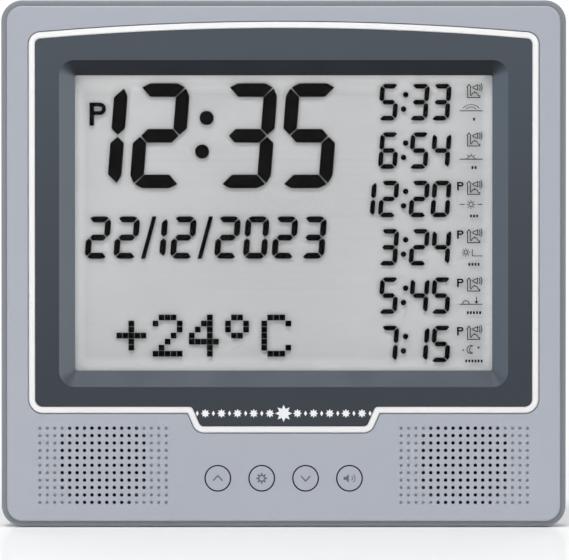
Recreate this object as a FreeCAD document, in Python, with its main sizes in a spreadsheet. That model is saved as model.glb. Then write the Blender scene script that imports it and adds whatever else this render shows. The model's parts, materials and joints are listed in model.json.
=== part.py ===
"""A wall and table prayer-time clock with a large liquid crystal display.

The case is two shells, closed by six screws from behind. Lengths are in millimetres.
X runs to the viewer's right, Y from the face to the back, and Z up from the bottom of the case.
"""
import FreeCAD, Part
import Sketcher
import math
import os

Vector = FreeCAD.Vector
Rotation = FreeCAD.Rotation

SIZES = {
    # Case, seen from the front
    "case_width": 266.0,
    "case_height": 248.0,
    "case_depth": 32.0,
    "case_corner": 10.0,
    "fit_gap": 0.15,             # between two still pieces
    "seat_gap": 0.05,            # between a shaft or peg and its hole
    # Rear cover
    "rim_width": 2.5,            # wall that frames the face
    "rim_setback": 2.4,          # from the face back to the rim's front edge
    "rim_bevel": 0.8,
    "back_wall": 2.5,
    "back_round": 4.0,
    # Front housing
    "face_wall": 2.2,
    "face_round": 0.8,
    "skirt_wall": 2.2,
    "skirt_depth": 12.0,
    # Screws that close the case
    "boss_radius": 3.3,
    "boss_clearance": 1.6,       # between a boss and the bezel's flange
    "boss_inset_end": 12.0,      # from the bottom and the top of the case
    "screw_well_radius": 3.7,
    "screw_well_depth": 5.0,
    "screw_seat": 2.0,
    "screw_shank": 1.3,
    "screw_head": 2.8,
    "screw_head_height": 1.9,
    "screw_length": 9.0,
    # Outline of the display bezel, which has an arched top and a tongue below
    "bezel_side": 16.1,          # from the side of the case
    "bezel_above": 13.3,         # from the top of the case
    "bezel_bottom": 56.7,
    "bezel_arch": 1330.0,
    "bezel_top_corner": 2.5,
    "bezel_bottom_corner": 3.5,
    "tongue_half_width": 43.1,
    "tongue_foot_half_width": 39.1,
    "tongue_bottom": 47.5,
    "tongue_round": 2.2,
    "bezel_flange": 2.6,
    "bezel_flange_wall": 1.6,
    # White ring around the bezel
    "ring_width": 2.95,
    "ring_gap": 0.5,
    "ring_recess": 1.4,
    "ring_proud": 0.2,
    "ring_bevel": 0.5,
    # Chamfered recess down to the display
    "recess_side": 11.2,         # margins inside the bezel's outline
    "recess_below": 9.2,
    "recess_above": 14.9,
    "recess_corner": 7.3,
    "recess_depth": 5.5,
    "recess_wall": 1.8,
    "slope_side": 7.3,           # widths of the recess's sloping sides
    "slope_below": 7.6,
    "slope_above": 7.1,
    "view_corner": 0.9,
    # Display stack
    "glass_lap_side": 2.6,       # glass hidden behind the edge of the view
    "glass_lap_end": 5.2,
    "window_thick": 1.2,
    "film_thick": 0.2,
    "film_inset": 0.6,
    "glass_thick": 1.1,
    "crystal_gap": 0.1,
    "edge_seal": 1.0,
    "contact_ledge": 4.0,
    "reflector_thick": 0.3,
    "holder_wall": 5.8,
    "strip_width": 2.6,
    "board_thick": 1.6,
    "board_margin": 6.8,         # from the holder's side to the board's side
    "board_post_radius": 3.0,
    "board_post_gap": 1.2,       # from the holder's side to the posts
    # Parts on the main board
    "chip_radius": 8.0,
    "chip_height": 1.8,
    "can_radius": 3.0,
    "can_height": 7.0,
    "crystal_radius": 1.6,
    "crystal_height": 6.0,
    "part_inset": 35.0,          # from the side of the glass to the parts
    # Speakers and their grilles
    "grille_side": 47.95,        # from the side of the case to the middle of a grille
    "grille_z": 29.0,
    "grille_pitch": 3.5,
    "grille_hole": 0.85,
    "dimple_hole": 0.75,
    "dimple_depth": 0.9,
    "speaker_radius": 22.0,
    "rib_wall": 1.0,
    "speaker_gasket": 1.5,
    "speaker_flange": 1.0,
    "basket_depth": 7.0,
    "basket_mouth": 17.6,
    "basket_foot": 11.0,
    "basket_wall": 0.8,
    "cone_foot": 5.2,
    "cone_depth": 5.4,
    "paper": 0.5,
    "magnet_radius": 9.5,
    "magnet_length": 6.2,
    "speaker_post_radius": 2.2,
    "clamp_head": 3.6,
    "small_shank": 1.0,
    "small_head_height": 1.4,
    "small_screw_length": 3.4,
    # Buttons
    "button_z": 22.86,
    "button_pitch": 20.67,
    "button_hole": 6.35,
    "button_radius": 5.7,
    "button_proud": 0.3,
    "button_round": 0.3,
    "button_flange": 7.4,
    "button_flange_thick": 1.0,
    "button_stem": 2.0,
    "dome_height": 3.0,
    "dome_base": 4.8,
    "dome_top": 2.6,
    "dome_wall": 0.8,
    "button_board_depth": 7.5,   # from the inside of the face to the board
    "button_board_half_width": 42.0,
    "button_board_bottom": 12.5,
    "button_board_top": 33.5,
    "button_post_radius": 2.4,
    # Battery compartment
    "cell_radius": 7.2,
    "cell_length": 49.2,
    "nub_radius": 2.75,
    "nub_length": 1.3,
    "cell_pitch": 15.2,
    "cell_count": 3,
    "cell_play": 0.4,
    "battery_half_length": 30.5,
    "battery_bottom": 98.0,
    "battery_wall": 1.6,
    "door_thick": 2.0,
    "door_margin": 3.0,
    "door_gap": 0.25,
    "contact_thick": 0.5,
    "spring_wire": 0.35,         # radius of the wire
    "spring_base": 4.4,
    "spring_tip": 2.6,
    "spring_turns": 4,
    # Stand
    "stand_half_width": 34.0,
    "stand_thick": 2.7,
    "stand_bottom": 5.0,
    "hinge_z": 79.0,
    "hinge_inset": 2.6,          # from the back of the case to the hinge's axis
    "knuckle_radius": 2.4,
    "pin_radius": 1.25,
    "pin_seat": 5.0,
    "stand_gap": 0.4,
    "stand_recess": 3.4,
    "trough_recess": 5.2,
    "recess_floor": 2.0,
    # Openings in the back wall
    "keyhole_x": 75.0,
    "keyhole_below_top": 43.0,
    "keyhole_radius": 4.2,
    "keyhole_slot": 2.3,
    "keyhole_rise": 9.0,
    "inlet_x": -52.0,
    "inlet_z": 60.0,
    "inlet_radius": 4.0,
    "inlet_bore": 2.8,
    "inlet_pin": 1.0,
    "jack_width": 10.0,
    "jack_depth": 11.5,
    # Battery door's tabs and latch
    "tab_half": 4.0,
    "tab_x": 18.0,
    "toe_reach": 2.4,
    "toe_thick": 1.2,
    "toe_swing": 1.1,            # room for the toes as the door tilts
    "latch_half": 5.0,
    "latch_wall": 1.2,
    "latch_depth": 3.4,
    "hook_reach": 1.1,
    # Wiring
    "lead_radius": 0.6,
    "lead_pitch": 1.6,
    "lead_drop": 7.0,            # how far a lead runs clear of what it leaves
    "lead_sweep": 8.0,
    "lead_exit": 3.0,
    "power_lead_rise": 14.0,
    "ribbon_half_width": 6.0,
    "ribbon_thick": 0.7,
}

# Digits as drawn for a view this large, from the middle and from the bottom of the clock. The
# model draws them out to the view that it has.
DRAWN = {
    "half_width": 98.4,
    "bottom": 73.5,
    "above_clock": 3.7,
    "digit_slant": 0.079,        # sideways shift per unit of height
    "clock_digit_height": 49.5,
    "clock_digit_width": 25.0,
    "clock_bar": 6.4,
    "clock_bottom": 159.5,
    "date_digit_height": 20.0,
    "date_digit_width": 11.3,
    "date_bar": 2.85,
    "date_bottom": 126.2,
    "date_pitch": 13.55,
    "row_digit_height": 17.3,
    "row_digit_width": 8.95,
    "row_bar": 2.25,
    "row_bottom": 191.45,
    "row_pitch": 22.83,
    "bar_gap": 0.45,             # pale line between two bars of the large digits
    "matrix_pitch": 2.853,
    "matrix_dot": 2.7,
    "matrix_left": -79.0,
    "matrix_bottom": 80.0,
    "clock_lefts": (-102.1, -72.9, -31.5, -2.4),
    "clock_spots": ((0.67, -36.35), (0.35, -38.5)),
    "date_groups": (("22", -94.1), ("12", -67.35), ("2023", -32.95)),
    "date_strokes": (-67.4, -40.7),
    "row_lefts": (33.8, 44.4, 58.8, 69.1),
    "row_spots": ((0.705, 57.6), (0.312, 56.6)),
}

BUTTONS = ("up", "set", "down", "sound")
SIDES = (("left", -1), ("right", 1))

# Bars of a seven-bar digit: a top, b upper right, c lower right, d bottom, e lower left,
# f upper left, g middle
BARS = {
    "0": "abcdef", "1": "bc", "2": "abged", "3": "abgcd", "4": "fgbc",
    "5": "afgcd", "6": "afgedc", "7": "abc",
}

# Five by seven characters of the dot matrix, one text line per row of dots
GLYPHS = (
    (".....", "..#..", "..#..", "#####", "..#..", "..#..", "....."),
    (".###.", "#...#", "....#", "...#.", "..#..", ".#...", "#####"),
    ("...#.", "..##.", ".#.#.", "#..#.", "#####", "...#.", "...#."),
    (".##..", "#..#.", "#..#.", ".##..", ".....", ".....", "....."),
    (".###.", "#...#", "#....", "#....", "#....", "#...#", ".###."),
)

doc = FreeCAD.newDocument("prayer_clock")
nodes = []


class Size:
    """A length that carries its value and the sheet formula that it follows."""

    def __init__(self, value, formula):
        self.value = float(value)
        self.formula = formula

    def __add__(self, other):
        return combine(self, "+", other, self.value + number(other))

    def __radd__(self, other):
        return combine(other, "+", self, number(other) + self.value)

    def __sub__(self, other):
        return combine(self, "-", other, self.value - number(other))

    def __rsub__(self, other):
        return combine(other, "-", self, number(other) - self.value)

    def __mul__(self, other):
        return combine(self, "*", other, self.value * number(other))

    def __rmul__(self, other):
        return combine(other, "*", self, number(other) * self.value)

    def __truediv__(self, other):
        return combine(self, "/", other, self.value / number(other))

    def __neg__(self):
        return combine(-1, "*", self, -self.value)


def number(size):
    return size.value if isinstance(size, Size) else float(size)


def formula(size):
    return size.formula if isinstance(size, Size) else f"{float(size):.6g}"


def combine(left, sign, right, value):
    return Size(value, f"({formula(left)} {sign} {formula(right)})")


class Sheet:
    """Gives each size in the spreadsheet by its name."""

    def __init__(self, sizes):
        sheet = doc.addObject("Spreadsheet::Sheet", "sizes")
        for row, (alias, value) in enumerate(sizes.items(), start=1):
            sheet.set(f"A{row}", alias)
            sheet.set(f"B{row}", str(value))
            sheet.setAlias(f"B{row}", alias)
            setattr(self, alias, Size(value, f"sizes.{alias}"))
        doc.recompute()


s = Sheet(SIZES)

# Layout of the front, each piece placed from the one around it
s.bezel_half_width = s.case_width / 2 - s.bezel_side
s.bezel_top = s.case_height - s.bezel_above
s.recess_half_width = s.bezel_half_width - s.recess_side
s.recess_bottom = s.bezel_bottom + s.recess_below
s.recess_top = s.bezel_top - s.recess_above
s.view_half_width = s.recess_half_width - s.slope_side
s.view_bottom = s.recess_bottom + s.slope_below
s.view_top = s.recess_top - s.slope_above
s.glass_half_width = s.view_half_width + s.glass_lap_side
s.glass_bottom = s.view_bottom - s.glass_lap_end
s.glass_top = s.view_top + s.glass_lap_end
s.grille_x = s.case_width / 2 - s.grille_side
s.keyhole_z = s.case_height - s.keyhole_below_top
s.part_spread = s.glass_half_width - s.part_inset
s.speaker_post_reach = s.speaker_radius + s.fit_gap + s.speaker_post_radius

# Planes across the depth, from the front to the back
BUTTON_FRONT = -(s.case_depth / 2)
FACE = BUTTON_FRONT + s.button_proud
FACE_INSIDE = FACE + s.face_wall
RING_SEAT = FACE + s.ring_recess
RIM_FRONT = FACE + s.rim_setback
SKIRT_END = FACE + s.skirt_depth
BEZEL_FLANGE_BACK = FACE_INSIDE + s.bezel_flange_wall
WINDOW_FRONT = FACE + s.recess_depth
FILM_FRONT = WINDOW_FRONT + s.window_thick
FRONT_GLASS = FILM_FRONT + s.film_thick
CRYSTAL_FRONT = FRONT_GLASS + s.glass_thick
REAR_GLASS = CRYSTAL_FRONT + s.crystal_gap
REFLECTOR_FRONT = REAR_GLASS + s.glass_thick
BOARD_FRONT = REFLECTOR_FRONT + s.reflector_thick
BOARD_BACK = BOARD_FRONT + s.board_thick
BUTTON_BOARD = FACE_INSIDE + s.button_board_depth
BUTTON_BOARD_BACK = BUTTON_BOARD + s.board_thick
BACK = s.case_depth / 2
BACK_INSIDE = BACK - s.back_wall
DOOR_INSIDE = BACK - s.door_thick
SCREW_SEAT = BACK - s.screw_well_depth
BOSS_END = SCREW_SEAT - s.screw_seat
HINGE_Y = BACK - s.hinge_inset

# Layout of a grille
DOT_REACH = 6.6                  # how far through holes go from the grille's centre, in pitches
GRILLE_COLUMNS = 18
GRILLE_ROWS = 11

# Points along a spring where its distance to itself is measured, and the length left out on
# each side of a point, in wire radii
SPRING_POINTS = 400
SPRING_NEAR = 8

Y_AXIS = Vector(0, 1, 0)
TURNS = {
    "x": Rotation(Y_AXIS, 90),
    "y": Rotation(Vector(1, 0, 0), -90),
    "z": Rotation(),
}
SKETCH_TURN = Rotation(Vector(1, 0, 0), 90)


# Features

def bind(item, prop, size):
    item.setExpression(prop, formula(size))


def place(item, x, y, z, turn=Rotation()):
    item.Placement = FreeCAD.Placement(Vector(number(x), number(y), number(z)), turn)
    for axis, size in zip("xyz", (x, y, z)):
        bind(item, f"Placement.Base.{axis}", size)
    return item


def box(name, x, y, z):
    """A block between a pair of planes on each axis."""
    item = doc.addObject("Part::Box", name)
    for prop, (low, high) in (("Length", x), ("Width", y), ("Height", z)):
        bind(item, prop, high - low)
    return place(item, x[0], y[0], z[0])


def axis_point(axis, along, across):
    """The X, Y and Z of a point given along one axis and across it in X, Y, Z order."""
    point = list(across)
    point.insert("xyz".index(axis), along)
    return point


def rod(name, axis, radius, span, across):
    """A cylinder along an axis, between two places on it."""
    item = doc.addObject("Part::Cylinder", name)
    bind(item, "Radius", radius)
    bind(item, "Height", span[1] - span[0])
    return place(item, *axis_point(axis, span[0], across), TURNS[axis])


def taper(name, axis, radii, span, across):
    """A cone along an axis, with a radius at each end."""
    item = doc.addObject("Part::Cone", name)
    bind(item, "Radius1", radii[0])
    bind(item, "Radius2", radii[1])
    bind(item, "Height", span[1] - span[0])
    return place(item, *axis_point(axis, span[0], across), TURNS[axis])


def fuse(name, *parts):
    item = doc.addObject("Part::MultiFuse", name)
    item.Shapes = list(parts)
    return item


def group(name, *parts):
    item = doc.addObject("Part::Compound", name)
    item.Links = list(parts)
    return item


def cut(name, base, *tools):
    item = doc.addObject("Part::Cut", name)
    item.Base = base
    item.Tool = tools[0] if len(tools) == 1 else fuse(f"{name}_tools", *tools)
    return item


def node(label, item):
    """Names a finished sub-part."""
    item.Label = label
    nodes.append(item)
    return item


def edges_on_plane(shape, y):
    """Numbers of the edges that lie whole on a plane across the depth."""
    close = 1e-4
    found = []
    for index, edge in enumerate(shape.Edges, start=1):
        bounds = edge.BoundBox
        if abs(bounds.YMin - number(y)) < close and abs(bounds.YMax - number(y)) < close:
            found.append(index)
    return found


def soften(name, base, kind, size, y):
    """Rounds or bevels the edges of a shape that lie on a plane across the depth."""
    doc.recompute()
    item = doc.addObject(f"Part::{kind}", name)
    item.Base = base
    item.Edges = [(edge, number(size), number(size)) for edge in edges_on_plane(base.Shape, y)]
    return item


# Sketches

def fix(sketch, name, size, kind, *where):
    """Adds a dimension that follows the sheet."""
    if kind.startswith("Distance") and number(size) < 0:
        first, first_end, second, second_end = where
        where = (second, second_end, first, first_end)
        size = -size
    index = sketch.addConstraint(Sketcher.Constraint(kind, *where, number(size)))
    sketch.renameConstraint(index, name)
    sketch.setExpression(f"Constraints.{name}", formula(size))


def line(sketch, start, end):
    return sketch.addGeometry(Part.LineSegment(Vector(*start, 0), Vector(*end, 0)), False)


def arc(sketch, centre, radius, start, end):
    circle = Part.Circle(Vector(*centre, 0), Vector(0, 0, 1), radius)
    return sketch.addGeometry(Part.ArcOfCircle(circle, start, end), False)


def close_smoothly(sketch, loop):
    """Joins lines and arcs end to start, each tangent to the next."""
    pairs = zip(loop, loop[1:] + loop[:1])
    sketch.addConstraint([Sketcher.Constraint("Tangent", a, 2, b, 1) for a, b in pairs])


def draw_rounded_rectangle(sketch, x, z, radius):
    """A rectangle between two places in X and two in Z, with four equal round corners."""
    (x0, x1), (z0, z1) = [[number(size) for size in pair] for pair in (x, z)]
    r = number(radius)
    quarter = math.pi / 2
    bottom = line(sketch, (x0 + r, z0), (x1 - r, z0))
    corner_a = arc(sketch, (x1 - r, z0 + r), r, -quarter, 0)
    right = line(sketch, (x1, z0 + r), (x1, z1 - r))
    corner_b = arc(sketch, (x1 - r, z1 - r), r, 0, quarter)
    top = line(sketch, (x1 - r, z1), (x0 + r, z1))
    corner_c = arc(sketch, (x0 + r, z1 - r), r, quarter, 2 * quarter)
    left = line(sketch, (x0, z1 - r), (x0, z0 + r))
    corner_d = arc(sketch, (x0 + r, z0 + r), r, 2 * quarter, 3 * quarter)
    close_smoothly(sketch, [bottom, corner_a, right, corner_b, top, corner_c, left, corner_d])
    sketch.addConstraint([
        Sketcher.Constraint("Horizontal", bottom),
        Sketcher.Constraint("Horizontal", top),
        Sketcher.Constraint("Vertical", right),
        Sketcher.Constraint("Vertical", left),
        Sketcher.Constraint("Equal", corner_a, corner_b),
        Sketcher.Constraint("Equal", corner_b, corner_c),
        Sketcher.Constraint("Equal", corner_c, corner_d),
    ])
    fix(sketch, "corner", radius, "Radius", corner_a)
    fix(sketch, "left", x[0], "DistanceX", -1, 1, left, 1)
    fix(sketch, "right", x[1], "DistanceX", -1, 1, right, 1)
    fix(sketch, "bottom", z[0], "DistanceY", -1, 1, bottom, 1)
    fix(sketch, "top", z[1], "DistanceY", -1, 1, top, 1)


def body_sketch(body, name, y):
    """A sketch in a body, on a plane across the depth."""
    sketch = body.newObject("Sketcher::SketchObject", name)
    origin = next(item for item in body.Origin.OriginFeatures if item.Role == "XZ_Plane")
    sketch.AttachmentSupport = (origin, [""])
    sketch.MapMode = "FlatFace"
    bind(sketch, "AttachmentOffset.Base.z", -y)
    return sketch


def pad_body(name, x, y, z, radius):
    """A body with one rounded plate between two planes across the depth."""
    body = doc.addObject("PartDesign::Body", name)
    sketch = body_sketch(body, f"{name}_outline", y[1])
    draw_rounded_rectangle(sketch, x, z, radius)
    pad = body.newObject("PartDesign::Pad", f"{name}_plate")
    pad.Profile = sketch
    bind(pad, "Length", y[1] - y[0])
    doc.recompute()
    return body


def pocket_body(body, name, x, y, z, radius):
    """Cuts a rounded pocket into a body, between two planes across the depth."""
    before = body.Shape.Volume
    sketch = body_sketch(body, f"{name}_outline", y[1])
    draw_rounded_rectangle(sketch, x, z, radius)
    pocket = body.newObject("PartDesign::Pocket", name)
    pocket.Profile = sketch
    pocket.Reversed = True
    bind(pocket, "Length", y[1] - y[0])
    doc.recompute()
    if body.Shape.Volume >= before:
        raise RuntimeError(f"{name} cuts nothing")
    return body


def soften_body(body, name, kind, size, y):
    """Rounds or bevels the edges of a body that lie on a plane across the depth."""
    edges = edges_on_plane(body.Shape, y)
    base = body.Tip
    feature = body.newObject(f"PartDesign::{kind}", name)
    feature.Base = (base, [f"Edge{index}" for index in edges])
    bind(feature, "Radius" if kind == "Fillet" else "Size", size)
    body.Tip = feature
    doc.recompute()
    return body


def mirrored(half_width):
    return -half_width, half_width


def grown(pair, margin):
    """A pair of places, each moved outwards."""
    return pair[0] - margin, pair[1] + margin


# Outline of the bezel

def draw_bezel_outline():
    """Arched top, upright sides, and a tongue with slanting sides below."""
    sketch = doc.addObject("Sketcher::SketchObject", "bezel_outline")
    sketch.Placement = FreeCAD.Placement(Vector(), SKETCH_TURN)
    half, top, bottom = s.bezel_half_width.value, s.bezel_top.value, s.bezel_bottom.value
    arch, tongue, foot = s.bezel_arch.value, s.tongue_half_width.value, s.tongue_foot_half_width.value
    foot_z, r = s.tongue_bottom.value, s.tongue_round.value
    high, low = s.bezel_top_corner.value, s.bezel_bottom_corner.value

    arch_z = top - arch
    corner_x = half - high
    corner_z = arch_z + math.sqrt((arch - high) ** 2 - corner_x ** 2)
    lean = math.atan2(corner_x, corner_z - arch_z)
    turn = math.atan2(bottom - foot_z, tongue - foot)
    back_off = r * math.tan(turn / 2)
    slope_x, slope_z = math.cos(turn), math.sin(turn)
    quarter = math.pi / 2

    def slant_point(x, z, way):
        return x + way * back_off * slope_x, z + way * back_off * slope_z

    high_slant = slant_point(tongue, bottom, -1)
    low_slant = slant_point(foot, foot_z, 1)

    def mirror(point):
        return -point[0], point[1]

    foot_line = line(sketch, (back_off - foot, foot_z), (foot - back_off, foot_z))
    foot_arc = arc(sketch, (foot - back_off, foot_z + r), r, -quarter, turn - quarter)
    slant = line(sketch, low_slant, high_slant)
    neck_arc = arc(sketch, (tongue + back_off, bottom - r), r, quarter, quarter + turn)
    base_line = line(sketch, (tongue + back_off, bottom), (half - low, bottom))
    low_arc = arc(sketch, (half - low, bottom + low), low, -quarter, 0)
    side = line(sketch, (half, bottom + low), (half, corner_z))
    high_arc = arc(sketch, (corner_x, corner_z), high, 0, quarter - lean)
    top_arc = arc(sketch, (0, arch_z), arch, quarter - lean, quarter + lean)
    high_arc_2 = arc(sketch, (-corner_x, corner_z), high, quarter + lean, 2 * quarter)
    side_2 = line(sketch, (-half, corner_z), (-half, bottom + low))
    low_arc_2 = arc(sketch, (low - half, bottom + low), low, 2 * quarter, 3 * quarter)
    base_line_2 = line(sketch, (low - half, bottom), (-tongue - back_off, bottom))
    neck_arc_2 = arc(sketch, (-tongue - back_off, bottom - r), r, quarter - turn, quarter)
    slant_2 = line(sketch, mirror(high_slant), mirror(low_slant))
    foot_arc_2 = arc(sketch, (back_off - foot, foot_z + r), r, 3 * quarter - turn, 3 * quarter)

    loop = [foot_line, foot_arc, slant, neck_arc, base_line, low_arc, side, high_arc, top_arc,
            high_arc_2, side_2, low_arc_2, base_line_2, neck_arc_2, slant_2, foot_arc_2]
    joints = []
    for index, piece in enumerate(loop):
        following = loop[(index + 1) % len(loop)]
        piece_end = 1 if piece in (neck_arc, neck_arc_2) else 2
        following_start = 2 if following in (neck_arc, neck_arc_2) else 1
        joints.append(Sketcher.Constraint("Tangent", piece, piece_end, following, following_start))
    sketch.addConstraint(joints)

    point = Sketcher.Constraint
    knee = sketch.addGeometry(Part.Point(Vector(tongue, bottom, 0)), True)
    heel = sketch.addGeometry(Part.Point(Vector(foot, foot_z, 0)), True)
    knee_2 = sketch.addGeometry(Part.Point(Vector(-tongue, bottom, 0)), True)
    heel_2 = sketch.addGeometry(Part.Point(Vector(-foot, foot_z, 0)), True)
    sketch.addConstraint([
        point("Horizontal", foot_line),
        point("Horizontal", base_line),
        point("Horizontal", base_line_2),
        point("Vertical", side),
        point("Vertical", side_2),
        point("Equal", foot_arc, neck_arc),
        point("Equal", foot_arc, neck_arc_2),
        point("Equal", foot_arc, foot_arc_2),
        point("Equal", low_arc, low_arc_2),
        point("Equal", high_arc, high_arc_2),
        point("PointOnObject", top_arc, 3, -2),
        point("PointOnObject", knee, 1, base_line),
        point("PointOnObject", knee, 1, slant),
        point("PointOnObject", heel, 1, foot_line),
        point("PointOnObject", heel, 1, slant),
        point("PointOnObject", knee_2, 1, base_line_2),
        point("PointOnObject", knee_2, 1, slant_2),
        point("PointOnObject", heel_2, 1, foot_line),
        point("PointOnObject", heel_2, 1, slant_2),
    ])
    fix(sketch, "tongue_round", s.tongue_round, "Radius", foot_arc)
    fix(sketch, "low_corner", s.bezel_bottom_corner, "Radius", low_arc)
    fix(sketch, "high_corner", s.bezel_top_corner, "Radius", high_arc)
    fix(sketch, "arch", s.bezel_arch, "Radius", top_arc)
    fix(sketch, "arch_centre", s.bezel_top - s.bezel_arch, "DistanceY", -1, 1, top_arc, 3)
    fix(sketch, "right", s.bezel_half_width, "DistanceX", -1, 1, side, 1)
    fix(sketch, "left", -s.bezel_half_width, "DistanceX", -1, 1, side_2, 1)
    fix(sketch, "bottom", s.bezel_bottom, "DistanceY", -1, 1, base_line, 1)
    fix(sketch, "bottom_2", s.bezel_bottom, "DistanceY", -1, 1, base_line_2, 1)
    fix(sketch, "foot", s.tongue_bottom, "DistanceY", -1, 1, foot_line, 1)
    fix(sketch, "knee", s.tongue_half_width, "DistanceX", -1, 1, knee, 1)
    fix(sketch, "knee_2", -s.tongue_half_width, "DistanceX", -1, 1, knee_2, 1)
    fix(sketch, "heel", s.tongue_foot_half_width, "DistanceX", -1, 1, heel, 1)
    fix(sketch, "heel_2", -s.tongue_foot_half_width, "DistanceX", -1, 1, heel_2, 1)
    doc.recompute()
    return sketch


BEZEL_OUTLINE = draw_bezel_outline()


def wider_outline(name, margin):
    """The bezel's outline moved outwards by a margin."""
    outline = doc.addObject("Part::Offset2D", name)
    outline.Source = BEZEL_OUTLINE
    outline.Join = "Arc"
    bind(outline, "Value", margin)
    return outline


def bezel_slab(name, outline, y):
    """An outline as a solid between two planes."""
    slab = doc.addObject("Part::Extrusion", name)
    slab.Base = outline
    slab.DirMode = "Custom"
    slab.Dir = Y_AXIS
    slab.Solid = True
    bind(slab, "LengthFwd", y[1] - y[0])
    bind(slab, "Placement.Base.y", y[0])
    return slab


# Front housing, ring and bezel

BOSS_X = s.bezel_half_width + s.bezel_flange + s.boss_clearance + s.boss_radius
BOSS_HEIGHTS = (s.boss_inset_end, s.case_height / 2, s.case_height - s.boss_inset_end)
BOSSES = [(side * BOSS_X, z) for _, side in SIDES for z in BOSS_HEIGHTS]
HOUSING_X = mirrored(s.case_width / 2 - s.rim_width - s.fit_gap)
HOUSING_Z = (s.rim_width + s.fit_gap, s.case_height - s.rim_width - s.fit_gap)
HOUSING_CORNER = s.case_corner - s.rim_width - s.fit_gap
SPEAKER_Z = s.grille_z + s.grille_pitch / 2
BUTTON_X = [(index - (len(BUTTONS) - 1) / 2) * s.button_pitch for index in range(len(BUTTONS))]
BUTTON_POSTS = [(index - 1) * s.button_pitch for index in range(len(BUTTONS) - 1)]
GASKET_BACK = FACE_INSIDE + s.speaker_gasket
SPEAKER_SEAT = GASKET_BACK + s.speaker_flange


def speaker_posts(side):
    """Centres of the four screw posts around a speaker."""
    reach = s.speaker_post_reach * math.sqrt(0.5)
    centre = side * s.grille_x
    return [(centre + dx * reach, SPEAKER_Z + dz * reach) for dx in (-1, 1) for dz in (-1, 1)]


def grille_holes(side):
    """Through holes in front of the speaker, and shallow dimples in the rest of the grille."""
    pitch = s.grille_pitch.value
    middle_column = (GRILLE_COLUMNS - 1) / 2
    middle_row = (GRILLE_ROWS - 1) / 2
    round_row = middle_row - 0.5
    front = FACE.value
    length = (GASKET_BACK - FACE).value
    holes, dimples = [], []
    for column in range(GRILLE_COLUMNS):
        for row in range(GRILLE_ROWS):
            dx = column - middle_column
            x = side * s.grille_x.value + dx * pitch
            z = s.grille_z.value + (middle_row - row) * pitch
            start = Vector(x, front, z)
            if abs(dx) < 6 and math.hypot(dx, row - round_row) < DOT_REACH:
                holes.append(Part.makeCylinder(s.grille_hole.value, length, start, Y_AXIS))
            else:
                depth = s.dimple_depth.value
                dimples.append(Part.makeCylinder(s.dimple_hole.value, depth, start, Y_AXIS))
    item = doc.addObject("Part::Feature", "grille_tool")
    item.Shape = Part.makeCompound(holes + dimples)
    return item


def make_front_housing():
    inner_x = grown(HOUSING_X, -s.skirt_wall)
    inner_z = grown(HOUSING_Z, -s.skirt_wall)
    inner_corner = HOUSING_CORNER - s.skirt_wall
    shell = pad_body("front_shell", HOUSING_X, (FACE, SKIRT_END), HOUSING_Z, HOUSING_CORNER)
    pocket_body(shell, "front_hollow", inner_x, (FACE_INSIDE, SKIRT_END), inner_z, inner_corner)
    soften_body(shell, "face_edge", "Fillet", s.face_round, FACE)
    added = [shell]
    removed = []
    for x, z in BOSSES:
        added.append(rod("case_boss", "y", s.boss_radius, (FACE_INSIDE, BOSS_END - s.seat_gap), (x, z)))
        pilot = (SCREW_SEAT - s.screw_length - 1, BOSS_END)
        removed.append(rod("case_pilot", "y", s.screw_shank + s.seat_gap, pilot, (x, z)))
    for _, side in SIDES:
        centre = (side * s.grille_x, SPEAKER_Z)
        inner = s.speaker_radius + s.seat_gap * 4
        rib_outer = rod("speaker_rib", "y", inner + s.rib_wall, (FACE_INSIDE, SPEAKER_SEAT), centre)
        rib_inner = rod("speaker_hollow", "y", inner, (FACE_INSIDE, SPEAKER_SEAT), centre)
        added.append(cut("speaker_ring", rib_outer, rib_inner))
        for post in speaker_posts(side):
            ends = (FACE_INSIDE, SPEAKER_SEAT)
            added.append(rod("speaker_post", "y", s.speaker_post_radius, ends, post))
            pilot = (SPEAKER_SEAT - s.small_screw_length, SPEAKER_SEAT)
            removed.append(rod("speaker_pilot", "y", s.small_shank + s.seat_gap, pilot, post))
        removed.append(grille_holes(side))
    for x in BUTTON_POSTS:
        ends = (FACE_INSIDE, BUTTON_BOARD)
        added.append(rod("button_post", "y", s.button_post_radius, ends, (x, s.button_z)))
        pilot = (BUTTON_BOARD_BACK - s.screw_length, BUTTON_BOARD)
        removed.append(rod("button_pilot", "y", s.small_shank + s.seat_gap, pilot, (x, s.button_z)))
    for x in BUTTON_X:
        removed.append(rod("button_way", "y", s.button_hole, (FACE, FACE_INSIDE), (x, s.button_z)))
    bezel_way = wider_outline("bezel_way_outline", s.fit_gap)
    removed.append(bezel_slab("bezel_way", bezel_way, (FACE, FACE_INSIDE)))
    ring_recess = s.fit_gap + s.ring_width + s.ring_gap
    ring_way = wider_outline("ring_way_outline", ring_recess)
    removed.append(bezel_slab("ring_way", ring_way, (FACE, RING_SEAT)))
    node("front_housing", cut("front_housing", fuse("front_parts", *added), *removed))


def make_trim_ring():
    front = FACE - s.ring_proud
    outside = wider_outline("ring_outside", s.fit_gap + s.ring_width)
    inside = wider_outline("ring_inside", s.fit_gap)
    outer = bezel_slab("ring_outer", outside, (front, RING_SEAT))
    inner = bezel_slab("ring_inner", inside, (front, RING_SEAT))
    ring = cut("ring_plain", outer, inner)
    node("trim_ring", soften("trim_ring", ring, "Chamfer", s.ring_bevel, front))


HOLDER_X = mirrored(s.glass_half_width + s.holder_wall)
HOLDER_Z = (s.glass_bottom - s.holder_wall, s.glass_top + s.holder_wall)
POST_X = HOLDER_X[1] + s.board_post_gap + s.board_post_radius
GLASS_MIDDLE = (s.glass_bottom + s.glass_top) / 2
POST_RISE = (s.glass_top - s.glass_bottom) * 0.43
BOARD_POSTS = [
    (side * POST_X, GLASS_MIDDLE + rise * POST_RISE) for _, side in SIDES for rise in (-1, 0, 1)
]


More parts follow.
